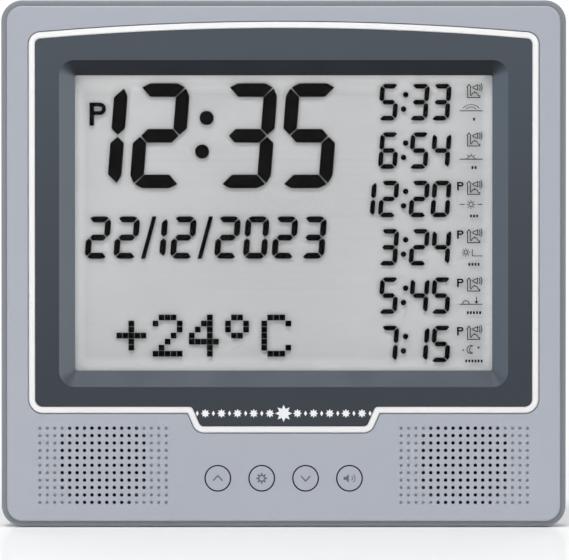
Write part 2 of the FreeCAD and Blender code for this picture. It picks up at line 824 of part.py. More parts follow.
def recess_sketch(name, y, x, z, radius):
    sketch = doc.addObject("Sketcher::SketchObject", name)
    place(sketch, Size(0, "0"), y, Size(0, "0"), SKETCH_TURN)
    draw_rounded_rectangle(sketch, x, z, radius)
    return sketch


def make_display_bezel():
    recess_x = mirrored(s.recess_half_width)
    recess_z = (s.recess_bottom, s.recess_top)
    mouth = recess_sketch("recess_mouth", FACE, recess_x, recess_z, s.recess_corner)
    view_z = (s.view_bottom, s.view_top)
    view = recess_sketch("recess_view", WINDOW_FRONT, mirrored(s.view_half_width), view_z, s.view_corner)
    funnel = doc.addObject("Part::Loft", "recess_funnel")
    funnel.Sections = [mouth, view]
    funnel.Solid = True
    funnel.Ruled = True
    block_x = grown(recess_x, s.recess_wall)
    block_z = grown(recess_z, s.recess_wall)
    block_y = (FACE_INSIDE, WINDOW_FRONT)
    flange = wider_outline("bezel_flange_outline", s.bezel_flange)
    parts = [
        bezel_slab("bezel_plate", BEZEL_OUTLINE, (FACE, FACE_INSIDE)),
        bezel_slab("bezel_rim", flange, (FACE_INSIDE, BEZEL_FLANGE_BACK)),
        pad_body("bezel_block", block_x, block_y, block_z, s.recess_corner),
    ]
    tools = [funnel]
    for post in BOARD_POSTS:
        ends = (FACE_INSIDE, BOARD_FRONT)
        parts.append(rod("board_post", "y", s.board_post_radius, ends, post))
        pilot = (BOARD_BACK - s.screw_length, BOARD_FRONT)
        tools.append(rod("board_pilot", "y", s.small_shank + s.seat_gap, pilot, post))
    node("display_bezel", cut("display_bezel", fuse("bezel_parts", *parts), *tools))


# Display

GLASS_X = mirrored(s.glass_half_width)
GLASS_Z = (s.glass_bottom, s.glass_top)
PANE_CORNER = s.view_corner


def make_display():
    film_x = grown(GLASS_X, -s.film_inset)
    film_z = grown(GLASS_Z, -s.film_inset)
    rear_z = grown(GLASS_Z, -s.contact_ledge)
    layers = (
        ("display_window", GLASS_X, (WINDOW_FRONT, FILM_FRONT), GLASS_Z),
        ("lcd_front_film", film_x, (FILM_FRONT, FRONT_GLASS), film_z),
        ("lcd_front_glass", GLASS_X, (FRONT_GLASS, CRYSTAL_FRONT), GLASS_Z),
        ("lcd_rear_glass", GLASS_X, (REAR_GLASS, REFLECTOR_FRONT), rear_z),
        ("lcd_reflector", film_x, (REFLECTOR_FRONT, BOARD_FRONT), grown(rear_z, -s.film_inset)),
    )
    for name, x, y, z in layers:
        node(name, pad_body(f"{name}_body", x, y, z, PANE_CORNER))

    seal_y = (CRYSTAL_FRONT, REAR_GLASS)
    seal = pad_body("lcd_seal_body", GLASS_X, seal_y, rear_z, PANE_CORNER)
    seal_x, seal_z = grown(GLASS_X, -s.edge_seal), grown(rear_z, -s.edge_seal)
    node("lcd_seal", pocket_body(seal, "seal_hollow", seal_x, seal_y, seal_z, s.edge_seal / 2))

    holder_y = (WINDOW_FRONT, BOARD_FRONT)
    holder = pad_body("lcd_holder_body", HOLDER_X, holder_y, HOLDER_Z, s.holder_wall / 2)
    hollow_x, hollow_z = grown(GLASS_X, s.fit_gap), grown(GLASS_Z, s.fit_gap)
    pocket_body(holder, "holder_hollow", hollow_x, holder_y, hollow_z, s.fit_gap + s.view_corner / 2)
    node("lcd_holder", holder)

    play = (s.contact_ledge - s.strip_width) / 2
    strip_y = (CRYSTAL_FRONT, BOARD_FRONT)
    lower = (s.glass_bottom + play, s.glass_bottom + play + s.strip_width)
    upper = (s.glass_top - play - s.strip_width, s.glass_top - play)
    strip_x = grown(GLASS_X, -s.contact_ledge)
    node("contact_strip_lower", box("contact_strip_lower", strip_x, strip_y, lower))
    node("contact_strip_upper", box("contact_strip_upper", strip_x, strip_y, upper))


# Digits

def bar_outlines(width, height, bar, gap):
    """Corner points of the seven bars of an upright digit, from its lower left corner."""
    half, middle = bar / 2, height / 2
    tip = bar * 0.3
    top_in = height - bar
    g = gap / 2

    def right_upper(flip_x, flip_z):
        points = [
            (width - bar, top_in - g), (width - tip, height - tip - g * 2), (width, height - bar * 0.95),
            (width, middle + half + g), (width - half, middle + g * 2), (width - bar, middle + half + g),
        ]
        return [(width - x if flip_x else x, height - z if flip_z else z) for x, z in points]

    def cap(flip):
        points = [
            (bar + g, top_in), (width - bar - g, top_in), (width - tip - g * 2, height - tip),
            (width - bar * 0.95, height), (bar * 0.95, height), (tip + g * 2, height - tip),
        ]
        return [(x, height - z if flip else z) for x, z in points]

    middle_bar = [
        (half + g * 2, middle), (bar + g, middle - half), (width - bar - g, middle - half),
        (width - half - g * 2, middle), (width - bar - g, middle + half), (bar + g, middle + half),
    ]
    return {
        "a": cap(False), "b": right_upper(False, False), "c": right_upper(False, True),
        "d": cap(True), "e": right_upper(True, True), "f": right_upper(True, False), "g": middle_bar,
    }


STRETCH_X = s.view_half_width.value / DRAWN["half_width"]
DRAWN_TOP = DRAWN["clock_bottom"] + DRAWN["clock_digit_height"] + DRAWN["above_clock"]
STRETCH_Z = (s.view_top - s.view_bottom).value / (DRAWN_TOP - DRAWN["bottom"])


def in_view(x, z):
    """A drawn point, as a point at the front of the crystal."""
    height = s.view_bottom.value + (z - DRAWN["bottom"]) * STRETCH_Z
    return Vector(x * STRETCH_X, CRYSTAL_FRONT.value, height)


def slab(points, left, bottom, slant=DRAWN["digit_slant"]):
    """A closed outline in the display, slanted and given the thickness of the crystal."""
    corners = [in_view(left + x + slant * z, bottom + z) for x, z in points]
    face = Part.Face(Part.makePolygon(corners + corners[:1]))
    return face.extrude(Y_AXIS * s.crystal_gap.value)


def digit(text, left, bottom, width, height, bar, gap):
    outlines = bar_outlines(width, height, bar, gap)
    return [slab(outlines[name], left, bottom) for name in BARS[text]]


def spot(x, z, radius):
    return Part.makeCylinder(radius * min(STRETCH_X, STRETCH_Z), s.crystal_gap.value, in_view(x, z), Y_AXIS)


def make_digits():
    """Time, date, six daily times and a temperature, all plain numbers."""
    solids = []
    gap = DRAWN["bar_gap"]
    width, height, bar = DRAWN["clock_digit_width"], DRAWN["clock_digit_height"], DRAWN["clock_bar"]
    bottom = DRAWN["clock_bottom"]
    for text, left in zip("1235", DRAWN["clock_lefts"]):
        solids += digit(text, left, bottom, width, height, bar, gap)
    for rise, x in DRAWN["clock_spots"]:
        solids.append(spot(x, bottom + rise * height, bar * 0.52))

    width, height, bar = DRAWN["date_digit_width"], DRAWN["date_digit_height"], DRAWN["date_bar"]
    bottom = DRAWN["date_bottom"]
    for text, left in DRAWN["date_groups"]:
        for index, figure in enumerate(text):
            start = left + index * DRAWN["date_pitch"]
            solids += digit(figure, start, bottom, width, height, bar, gap * 0.8)
    for left in DRAWN["date_strokes"]:
        stroke = bar * 0.7
        lean = height * 0.19
        solids.append(slab([(0, 0), (stroke, 0), (stroke + lean, height), (lean, height)], left, bottom))

    width, height, bar = DRAWN["row_digit_width"], DRAWN["row_digit_height"], DRAWN["row_bar"]
    for row, text in enumerate((" 533", " 654", "1220", " 324", " 545", " 715")):
        bottom = DRAWN["row_bottom"] - row * DRAWN["row_pitch"]
        for figure, left in zip(text, DRAWN["row_lefts"]):
            if figure != " ":
                solids += digit(figure, left, bottom, width, height, bar, gap * 0.7)
        for rise, x in DRAWN["row_spots"]:
            solids.append(spot(x, bottom + rise * height, bar * 0.59))

    pitch, dot = DRAWN["matrix_pitch"], DRAWN["matrix_dot"]
    square = [(0, 0), (dot, 0), (dot, dot), (0, dot)]
    for place_number, glyph in enumerate(GLYPHS):
        for row, text in enumerate(reversed(glyph)):
            for column, mark in enumerate(text):
                if mark == "#":
                    left = DRAWN["matrix_left"] + (6 * place_number + column) * pitch
                    solids.append(slab(square, left, DRAWN["matrix_bottom"] + row * pitch, 0))
    item = doc.addObject("Part::Feature", "lcd_digits")
    item.Shape = Part.makeCompound(solids)
    node("lcd_digits", item)


# Boards

def make_boards():
    board_x = grown(HOLDER_X, s.board_margin)
    board = pad_body("main_board_body", board_x, (BOARD_FRONT, BOARD_BACK), HOLDER_Z, s.film_inset)
    holes = [
        rod("board_hole", "y", s.small_shank + s.fit_gap, (BOARD_FRONT, BOARD_BACK), post)
        for post in BOARD_POSTS
    ]
    node("main_board", cut("main_board", board, *holes))

    small_x = mirrored(s.button_board_half_width)
    small_y = (BUTTON_BOARD, BUTTON_BOARD_BACK)
    small_z = (s.button_board_bottom, s.button_board_top)
    small = pad_body("button_board_body", small_x, small_y, small_z, s.film_inset)
    holes = [
        rod("button_board_hole", "y", s.small_shank + s.fit_gap, small_y, (x, s.button_z))
        for x in BUTTON_POSTS
    ]
    node("button_board", cut("button_board", small, *holes))


def on_board(height):
    """From the board's back to a height above it."""
    return BOARD_BACK, BOARD_BACK + height


def make_components():
    """Parts on the back of the main board, either side of the battery compartment."""
    middle = GLASS_MIDDLE
    blobs = []
    for rise, radius in ((s.chip_radius, s.chip_radius), (s.chip_radius * -3, s.chip_radius * 0.8)):
        radii = (radius, radius * 0.55)
        blobs.append(taper("chip", "y", radii, on_board(s.chip_height), (s.part_spread, middle + rise)))
    node("chip_blobs", group("chip_blobs", *blobs))
    cans = []
    for index in range(3):
        across = (-s.part_spread - index * 3 * s.can_radius, middle - s.chip_radius * 3)
        cans.append(rod("can", "y", s.can_radius, on_board(s.can_height), across))
    node("capacitors", group("capacitors", *cans))
    across = (s.part_spread + s.chip_radius * 2, middle + s.chip_radius * 3)
    node("crystal", rod("crystal", "y", s.crystal_radius, on_board(s.crystal_height), across))


# Speakers

def make_speaker(name, side):
    x, z = side * s.grille_x, SPEAKER_Z
    mouth, foot = s.basket_mouth, s.basket_foot
    foot_y = SPEAKER_SEAT + s.basket_depth
    plate_y = foot_y + s.basket_wall

    gasket = rod("gasket_disc", "y", s.speaker_radius, (FACE_INSIDE, GASKET_BACK), (x, z))
    gasket_hole = rod("gasket_hole", "y", mouth + s.paper, (FACE_INSIDE, GASKET_BACK), (x, z))
    node(f"speaker_gasket_{name}", cut("gasket", gasket, gasket_hole))

    flange = rod("basket_flange", "y", s.speaker_radius, (GASKET_BACK, SPEAKER_SEAT), (x, z))
    wall = s.basket_wall
    radii = (mouth + wall, foot + wall)
    outside = taper("basket_outside", "y", radii, (SPEAKER_SEAT, foot_y), (x, z))
    plate = rod("basket_plate", "y", foot + wall, (foot_y, plate_y), (x, z))
    mouth_hole = rod("basket_mouth", "y", mouth, (GASKET_BACK, SPEAKER_SEAT), (x, z))
    inside = taper("basket_inside", "y", (mouth, foot), (SPEAKER_SEAT, foot_y), (x, z))
    coil_hole = rod("coil_hole", "y", s.cone_foot + s.paper, (foot_y, plate_y), (x, z))
    basket = fuse("basket_solid", flange, outside, plate)
    node(f"speaker_basket_{name}", cut("basket", basket, mouth_hole, inside, coil_hole))

    edge = mouth - s.seat_gap * 2
    front = GASKET_BACK + s.seat_gap
    cone_front = front + s.paper
    cone_back = cone_front + s.cone_depth
    paper = s.paper
    rim = rod("cone_rim", "y", edge, (front, cone_front), (x, z))
    rim_hole = rod("cone_rim_hole", "y", edge - 2 * paper, (front, cone_front), (x, z))
    slope = (edge - paper, s.cone_foot + paper)
    skin = taper("cone_skin", "y", slope, (cone_front, cone_back), (x, z))
    hollow = taper("cone_hollow", "y", (edge - 2 * paper, s.cone_foot), (cone_front, cone_back), (x, z))
    cap = rod("dust_cap", "y", s.cone_foot + paper / 2, (cone_back - paper, cone_back), (x, z))
    coil_end = plate_y - s.seat_gap
    coil = rod("coil", "y", s.cone_foot, (cone_back, coil_end), (x, z))
    coil_inside = rod("coil_inside", "y", s.cone_foot - paper, (cone_back, coil_end), (x, z))
    shell = cut("cone_shell", fuse("cone_solid", rim, skin), rim_hole, hollow)
    tube = cut("coil_tube", coil, coil_inside)
    node(f"speaker_cone_{name}", fuse("cone", shell, cap, tube))

    magnet = (plate_y, plate_y + s.magnet_length)
    node(f"speaker_magnet_{name}", rod("magnet", "y", s.magnet_radius, magnet, (x, z)))
    return plate_y


# Buttons

FLANGE_FRONT = FACE_INSIDE + s.seat_gap
FLANGE_BACK = FLANGE_FRONT + s.button_flange_thick
DOME_TOP_Y = BUTTON_BOARD - s.dome_height


def make_button(name, x):
    at = (x, s.button_z)
    plain = rod("button_cap", "y", s.button_radius, (BUTTON_FRONT, FLANGE_FRONT), at)
    cap = soften("button_face", plain, "Fillet", s.button_round, BUTTON_FRONT)
    flange = rod("button_flange", "y", s.button_flange, (FLANGE_FRONT, FLANGE_BACK), at)
    stem = rod("button_stem", "y", s.button_stem, (FLANGE_BACK, DOME_TOP_Y), at)
    node(f"button_{name}", fuse("button", cap, flange, stem))


def make_dome(name, x):
    """A rubber dome that pushes one button back."""
    at = (x, s.button_z)
    wall = s.dome_wall
    foot = rod("dome_foot", "y", s.dome_base + wall, (BUTTON_BOARD - wall, BUTTON_BOARD), at)
    outside = taper("dome_outside", "y", (s.dome_top, s.dome_base), (DOME_TOP_Y, BUTTON_BOARD), at)
    radii = (s.dome_top - wall, s.dome_base - wall)
    inside = taper("dome_inside", "y", radii, (DOME_TOP_Y + wall, BUTTON_BOARD), at)
    node(f"dome_{name}", cut("dome", fuse("dome_solid", outside, foot), inside))


# Rear cover

CASE_X = mirrored(s.case_width / 2)
CASE_Z = (Size(0, "0"), s.case_height)
BATTERY_X = mirrored(s.battery_half_length)
BATTERY_HEIGHT = s.cell_count * s.cell_pitch + s.cell_play * 4
BATTERY_Z = (s.battery_bottom, s.battery_bottom + BATTERY_HEIGHT)
CELL_Y = DOOR_INSIDE - s.cell_play - s.cell_radius
BATTERY_FLOOR = CELL_Y - s.cell_radius - s.cell_play
DOOR_X = grown(BATTERY_X, s.door_margin)
DOOR_Z = grown(BATTERY_Z, s.door_margin)
TAIL_RISE = s.cell_radius * 0.5
SLOT_DEPTH = s.toe_thick + s.toe_swing


def offset_pair(middle, half):
    return middle - half, middle + half


def keyhole_tools(side):
    """Round entry, and a slot up from it for the screw's neck."""
    x, z = side * s.keyhole_x, s.keyhole_z
    span = (BACK_INSIDE, BACK)
    top = z + s.keyhole_rise
    return [
        rod("keyhole_entry", "y", s.keyhole_radius, span, (x, z)),
        box("keyhole_slot", offset_pair(x, s.keyhole_slot), span, (z, top)),
        rod("keyhole_top", "y", s.keyhole_slot, span, (x, top)),
    ]


def make_rear_cover():
    rim = s.rim_width
    shell = pad_body("rear_shell", CASE_X, (RIM_FRONT, BACK), CASE_Z, s.case_corner)
    soften_body(shell, "back_edge", "Fillet", s.back_round, BACK)
    hollow_corner = s.case_corner - rim
    before = shell.Shape.Volume
    sketch = body_sketch(shell, "rear_hollow_outline", BACK_INSIDE)
    draw_rounded_rectangle(sketch, grown(CASE_X, -rim), grown(CASE_Z, -rim), hollow_corner)
    hollow = shell.newObject("PartDesign::Pocket", "rear_hollow")
    hollow.Profile = sketch
    hollow.Reversed = True
    bind(hollow, "Length", BACK_INSIDE - RIM_FRONT)
    doc.recompute()
    if shell.Shape.Volume >= before:
        raise RuntimeError("rear_hollow cuts nothing")
    bevel_rim(shell)

    added = [shell]
    removed = []
    for x, z in BOSSES:
        well = s.screw_well_radius
        added.append(rod("well_wall", "y", well + s.battery_wall, (BOSS_END, BACK_INSIDE), (x, z)))
        removed.append(rod("screw_well", "y", well, (SCREW_SEAT, BACK), (x, z)))
        hole = s.screw_shank + s.fit_gap * 2
        removed.append(rod("screw_hole", "y", hole, (BOSS_END, SCREW_SEAT), (x, z)))

    wall = s.battery_wall
    frame_y = (DOOR_INSIDE - 2 * wall, BACK_INSIDE)
    frame_z = (DOOR_Z[0] - 3 * wall, DOOR_Z[1] + 2 * wall)
    added.append(box("battery_frame", grown(DOOR_X, wall), frame_y, frame_z))
    well_y = (BATTERY_FLOOR - wall, frame_y[0])
    added.append(box("battery_box", grown(BATTERY_X, wall), well_y, grown(BATTERY_Z, wall)))
    removed.append(box("battery_hollow", BATTERY_X, (BATTERY_FLOOR, BACK), BATTERY_Z))
    seat_x, seat_z = grown(DOOR_X, s.door_gap), grown(DOOR_Z, s.door_gap)
    removed.append(box("door_seat", seat_x, (DOOR_INSIDE, BACK), seat_z))
    slot_y = (DOOR_INSIDE - SLOT_DEPTH, DOOR_INSIDE)
    for side in (-1, 1):
        tab_x = offset_pair(side * s.tab_x, s.tab_half + s.stand_gap)
        tab_z = (DOOR_Z[0] - s.toe_reach - 2 * s.stand_gap, BATTERY_Z[0])
        removed.append(box("tab_slot", tab_x, slot_y, tab_z))
    latch_x = mirrored(s.latch_half + s.stand_gap)
    latch_y = (DOOR_INSIDE - s.latch_depth - s.stand_gap, DOOR_INSIDE)
    removed.append(box("latch_room", latch_x, latch_y, (BATTERY_Z[1], DOOR_Z[1] + s.door_gap)))
    hook_z = (BATTERY_Z[1], DOOR_Z[1] + s.hook_reach + s.stand_gap)
    removed.append(box("hook_room", latch_x, slot_y, hook_z))
    for side in (-1, 1):
        inner, outer = side * s.battery_half_length, side * (s.battery_half_length + wall)
        tail_x = (inner, outer) if side > 0 else (outer, inner)
        tail_z = offset_pair(cell_z(1 + side * -1) + TAIL_RISE, s.contact_thick / 2 + s.seat_gap)
        removed.append(box("tail_slot", tail_x, offset_pair(CELL_Y, s.tab_half / 2), tail_z))

    stand_x = mirrored(s.stand_half_width + s.stand_gap)
    trough_z = offset_pair(s.hinge_z, s.knuckle_radius + 2 * s.stand_gap)
    recess_z = (s.back_round, trough_z[1])
    recess_y = BACK - s.stand_recess
    trough_y = BACK - s.trough_recess
    floor = s.recess_floor
    block_x = grown(stand_x, floor)
    block_z = (s.rim_width, trough_z[1] + floor)
    added.append(box("stand_block", block_x, (recess_y - floor, BACK_INSIDE), block_z))
    ear_x = grown(stand_x, s.pin_seat + floor)
    added.append(box("hinge_block", ear_x, (trough_y - floor, BACK_INSIDE), grown(trough_z, floor)))
    removed.append(box("stand_seat", stand_x, (recess_y, BACK), recess_z))
    removed.append(box("hinge_trough", stand_x, (trough_y, BACK), trough_z))
    pin_x = grown(stand_x, s.pin_seat)
    removed.append(rod("pin_hole", "x", s.pin_radius + s.seat_gap / 2, pin_x, (HINGE_Y, s.hinge_z)))

    for _, side in SIDES:
        removed += keyhole_tools(side)

    jack_x, jack_z = [offset_pair(at, s.jack_width / 2 + s.fit_gap) for at in (s.inlet_x, s.inlet_z)]
    jack_y = (BACK_INSIDE - s.jack_depth / 2, BACK_INSIDE)
    added.append(box("jack_cradle", grown(jack_x, wall), jack_y, grown(jack_z, wall)))
    removed.append(box("jack_room", jack_x, jack_y, jack_z))
    inlet_hole = s.inlet_radius + s.fit_gap
    removed.append(rod("inlet_hole", "y", inlet_hole, (BACK_INSIDE, BACK), (s.inlet_x, s.inlet_z)))
    node("rear_cover", cut("rear_cover", fuse("rear_parts", *added), *removed))


def bevel_rim(shell):
    """Bevels the outer edge of the rim that frames the face."""
    outer = []
    for index in edges_on_plane(shell.Shape, RIM_FRONT):
        bounds = shell.Shape.Edges[index - 1].BoundBox
        middle = s.case_height.value / 2
        reach_x = max(abs(bounds.XMin), abs(bounds.XMax))
        reach_z = max(abs(bounds.ZMin - middle), abs(bounds.ZMax - middle))
        near = s.rim_width.value / 2
        if reach_x > s.case_width.value / 2 - near or reach_z > middle - near:
            outer.append(f"Edge{index}")
    base = shell.Tip
    bevel = shell.newObject("PartDesign::Chamfer", "rim_bevel")
    bevel.Base = (base, outer)
    bind(bevel, "Size", s.rim_bevel)
    shell.Tip = bevel
    doc.recompute()


# Battery door and power

def make_battery_door():
    plate = pad_body("door_body", DOOR_X, (DOOR_INSIDE, BACK), DOOR_Z, s.door_gap * 4)
    soften_body(plate, "door_edge", "Fillet", s.door_gap * 1.6, BACK)
    latch_x = mirrored(s.latch_half)
    top = DOOR_Z[1] - s.door_gap
    root = top - 3 * s.latch_wall
    parts = [plate]
    for side in (-1, 1):
        tab_x = offset_pair(side * s.tab_x, s.tab_half)
        foot_y = (DOOR_INSIDE - s.toe_thick - s.door_gap, DOOR_INSIDE)
        toe_y = (foot_y[0], DOOR_INSIDE - s.door_gap)
        heel = DOOR_Z[0] + s.door_gap
        parts.append(box("door_foot", tab_x, foot_y, (heel, BATTERY_Z[0] - s.door_gap)))
        parts.append(box("door_toe", tab_x, toe_y, (DOOR_Z[0] - s.toe_reach, heel)))
    notch_x = grown(latch_x, s.stand_gap)
    notch = box("latch_notch", notch_x, (DOOR_INSIDE, BACK), (root, DOOR_Z[1]))
    deep = DOOR_INSIDE - s.latch_depth
    wall = s.latch_wall
    hook_y = (DOOR_INSIDE - s.toe_thick - s.door_gap, DOOR_INSIDE - s.door_gap)
    latch = [
        box("latch_root", latch_x, (deep, BACK), (root - wall, root)),
        box("latch_web", latch_x, (deep, deep + wall), (root, top)),
        box("latch_leg", latch_x, (deep, BACK), (top - wall, top)),
        box("latch_hook", latch_x, hook_y, (top, DOOR_Z[1] + s.hook_reach)),
    ]
    node("battery_door", fuse("battery_door", cut("door_plate", fuse("door_parts", *parts), notch), *latch))


def cell_z(index):
    return s.battery_bottom + s.cell_play * 2 + s.cell_pitch * (index + 0.5)


def make_cells():
    """Cells in series, each turned the other way from its neighbour."""
    end = s.battery_half_length - s.contact_thick - s.seat_gap
    for index in range(int(s.cell_count.value)):
        way = 1 if index % 2 == 0 else -1
        across = (CELL_Y, cell_z(index))
        shoulder = end - s.nub_length
        spans = [(shoulder - s.cell_length, shoulder), (shoulder, end)]
        if way < 0:
            spans = [(-high, -low) for low, high in spans]
        shell = rod("cell_shell", "x", s.cell_radius, spans[0], across)
        nub = rod("cell_nub", "x", s.nub_radius, spans[1], across)
        node(f"battery_cell_{index + 1}", fuse("cell", shell, nub))


def make_contacts():
    """Plates at both ends of the compartment: one single and one that joins two cells."""
    for name, side in SIDES:
        inner = side * (s.battery_half_length - s.contact_thick)
        outer = side * s.battery_half_length
        plate_x = (inner, outer) if side > 0 else (outer, inner)
        half_y, half_z = s.cell_radius - s.cell_play, s.cell_radius - 2 * s.cell_play
        single, double = (0, (1, 2)) if side > 0 else (2, (0, 1))
        plate_y = offset_pair(CELL_Y, half_y)
        joint_z = (cell_z(double[0]) - half_z, cell_z(double[1]) + half_z)
        tail_end = side * (s.battery_half_length + s.battery_wall + 2)
        tail_x = (inner, tail_end) if side > 0 else (tail_end, inner)
        tail_z = offset_pair(cell_z(single) + TAIL_RISE, s.contact_thick / 2)
        plate = box("plate", plate_x, plate_y, offset_pair(cell_z(single), half_z))
        tail = box("tail", tail_x, offset_pair(CELL_Y, s.tab_half / 2 - s.seat_gap), tail_z)
        joint = box("joint_plate", plate_x, plate_y, joint_z)
        node(f"battery_contacts_{name}", group("contacts", fuse("terminal", plate, tail), joint))


def smooth_arcs(start, start_way, end, end_way):
    """Two arcs that leave and arrive along given directions."""
    span = end - start
    both = start_way + end_way
    a = both.dot(both) - 4
    b = -2 * span.dot(both)
    c = span.dot(span)
    reach = (-b - math.sqrt(b * b - 4 * a * c)) / (2 * a)
    near, far = start + start_way * reach, end - end_way * reach
    middle = (near + far) / 2
    return [bend(start, near, middle), bend(middle, far, end)]


def bend(start, corner, end):
    """The arc that is tangent to both legs of a corner with equal legs."""
    chord_middle = (start + end) / 2
    leg, half_chord = (corner - start).Length, (end - start).Length / 2
    rise = (corner - chord_middle).Length
    radius = leg * half_chord / rise
    inward = (chord_middle - corner).normalize()
    centre_distance = math.hypot(leg, radius)
    return Part.Arc(start, corner + inward * (centre_distance - radius), end).toShape()


def least_gap(path, radius):
    """Clear distance between parts of a wire that lie more than half a turn apart along it."""
    spacing = path.Length / SPRING_POINTS
    points = path.discretize(Number=SPRING_POINTS + 1)
    near = int(SPRING_NEAR * radius / spacing) + 1
    gaps = []
    for first, start in enumerate(points):
        for end in points[first + near:]:
            gaps.append(start.distanceToPoint(end))
    return min(gaps) - 2 * radius


def coil_spring(side, index):
    """A tapering coil from the contact plate to the flat end of a cell."""
    wire = s.spring_wire.value
    plate = s.battery_half_length.value - s.contact_thick.value
    length = plate * 2 - s.cell_length.value - s.nub_length.value - s.seat_gap.value
    base, tip = s.spring_base.value, s.spring_tip.value
    turns = int(s.spring_turns.value)
    steps = turns * 4
    close = wire + s.seat_gap.value / 2
    climb = (length - 2 * close) / steps
    centre = Vector(side * plate, CELL_Y.value, cell_z(index).value)

    def at(step):
        angle = step * math.pi / 2
        radius = base + (tip - base) * step / steps
        along = -side * (close + climb * step)
        return centre + Vector(along, radius * math.cos(angle), radius * math.sin(angle))

    def way(step):
        small = 1e-3
        return (at(step + small) - at(step - small)).normalize()

    edges = []
    lead_in = at(0) - way(0) * wire * 2
    lead_out = at(steps) + way(steps) * wire * 2
    edges.append(Part.makeLine(lead_in, at(0)))
    for step in range(steps):
        edges += smooth_arcs(at(step), way(step), at(step + 1), way(step + 1))
    edges.append(Part.makeLine(at(steps), lead_out))
    path = Part.Wire(edges)
    profile = Part.Wire(Part.makeCircle(wire, lead_in, way(0)))
    gap = least_gap(path, wire)
    print(f"spring {index + 1}: least gap to itself {gap:.2f} mm")
    return path.makePipeShell([profile], True, False)


def make_springs():
    springs = [coil_spring(side, index) for side, index in ((-1, 0), (1, 1), (-1, 2))]
    item = doc.addObject("Part::Feature", "battery_springs")
    item.Shape = Part.makeCompound(springs)
    node("battery_springs", item)


def make_jack():
    """Power inlet: a body in the cradle, and a nose in the back wall around a centre pin."""
    x, z = s.inlet_x, s.inlet_z
    front = BACK_INSIDE - s.jack_depth
    half = s.jack_width / 2
    body = box("jack_body", offset_pair(x, half), (front, BACK_INSIDE), offset_pair(z, half))
    nose = rod("jack_nose", "y", s.inlet_radius, (BACK_INSIDE, BACK), (x, z))
    bore = rod("jack_bore", "y", s.inlet_bore, (BACK - s.jack_depth * 0.8, BACK), (x, z))
    node("power_inlet", cut("power_inlet", fuse("jack_solid", body, nose), bore))
    pin = rod("inlet_pin", "y", s.inlet_pin, (BACK - s.jack_depth * 0.8, BACK - s.back_wall / 2), (x, z))
    node("power_inlet_pin", pin)


# Stand

STAND_X = mirrored(s.stand_half_width)


def make_stand():
    """A prop that swings out on its pin, with a finger notch in its lower edge."""
    plate_y = (BACK - s.stand_gap - s.stand_thick, BACK - s.stand_gap)
    plate_z = (s.stand_bottom, s.hinge_z)
    plate = pad_body("stand_body", STAND_X, plate_y, plate_z, s.stand_gap * 2)
    knuckle = rod("stand_knuckle", "x", s.knuckle_radius, STAND_X, (HINGE_Y, s.hinge_z))
    notch = rod("stand_notch", "y", s.stand_half_width / 3, plate_y, (Size(0, "0"), s.stand_bottom - 2))
    bore = rod("stand_bore", "x", s.pin_radius + s.seat_gap, STAND_X, (HINGE_Y, s.hinge_z))
    node("stand", cut("stand", fuse("stand_solid", plate, knuckle), notch, bore))
    pin_x = mirrored(s.stand_half_width + s.stand_gap + s.pin_seat - s.seat_gap)
    node("stand_pin", rod("stand_pin", "x", s.pin_radius, pin_x, (HINGE_Y, s.hinge_z)))


# Screws

def screw(name, at, seat, shank, length, head, height):
    """A cross-head screw that enters towards the face from a seat."""
    top = seat + height
    stem = rod("screw_stem", "y", shank, (seat - length, seat), at)
    cap = rod("screw_cap", "y", head, (seat, top), at)
    deep = (top - height / 2, top)
    long, thin = head * 0.6, head * 0.13
    bars = [
        box("cross_bar", offset_pair(at[0], long), deep, offset_pair(at[1], thin)),
        box("cross_bar", offset_pair(at[0], thin), deep, offset_pair(at[1], long)),
    ]
    return cut(name, fuse("screw_solid", stem, cap), *bars)


def make_screws():
    case = [
        screw("case_screw", at, SCREW_SEAT, s.screw_shank, s.screw_length, s.screw_head,
              s.screw_head_height)
        for at in BOSSES
    ]
    node("case_screws", group("case_screws", *case))
    head = s.board_post_radius - s.fit_gap
    small = (s.small_shank, s.screw_length - s.board_thick, head, s.small_head_height)
    board = [screw("board_screw", at, BOARD_BACK, *small) for at in BOARD_POSTS]
    node("board_screws", group("board_screws", *board))
    posts = [(x, s.button_z) for x in BUTTON_POSTS]
    keys = [screw("button_screw", at, BUTTON_BOARD_BACK, *small) for at in posts]
    node("button_board_screws", group("button_board_screws", *keys))
    clamp = (s.small_shank, s.small_screw_length, s.clamp_head, s.small_head_height)
    clamps = [
        screw("speaker_screw", at, SPEAKER_SEAT, *clamp) for _, side in SIDES for at in speaker_posts(side)
    ]
    node("speaker_screws", group("speaker_screws", *clamps))


# Wiring

def route(points):
    """Straight runs joined by arcs as large as the runs allow."""
    points = [Vector(*[number(size) for size in point]) for point in points]
    edges = []
    last = points[0]
    for before, corner, after in zip(points, points[1:], points[2:]):
        back, ahead = (before - corner), (after - corner)
        leg = 0.45 * min(back.Length, ahead.Length)
        start, end = corner + back.normalize() * leg, corner + ahead.normalize() * leg
        edges.append(Part.makeLine(last, start))
        edges.append(bend(start, corner, end))
        last = end
    edges.append(Part.makeLine(last, points[-1]))
    return Part.Wire(edges)


def lead(points, profile):
    """A wire or ribbon drawn along a route."""
    return route(points).makePipeShell([profile], True, False)


def round_lead(points):
    start = Vector(*[number(size) for size in points[0]])
    follow = Vector(*[number(size) for size in points[1]])
    circle = Part.makeCircle(s.lead_radius.value, start, (follow - start).normalize())
    return lead(points, Part.Wire(circle))


def wire_node(name, *solids):
    item = doc.addObject("Part::Feature", name)
    item.Shape = Part.makeCompound(list(solids))
    node(name, item)


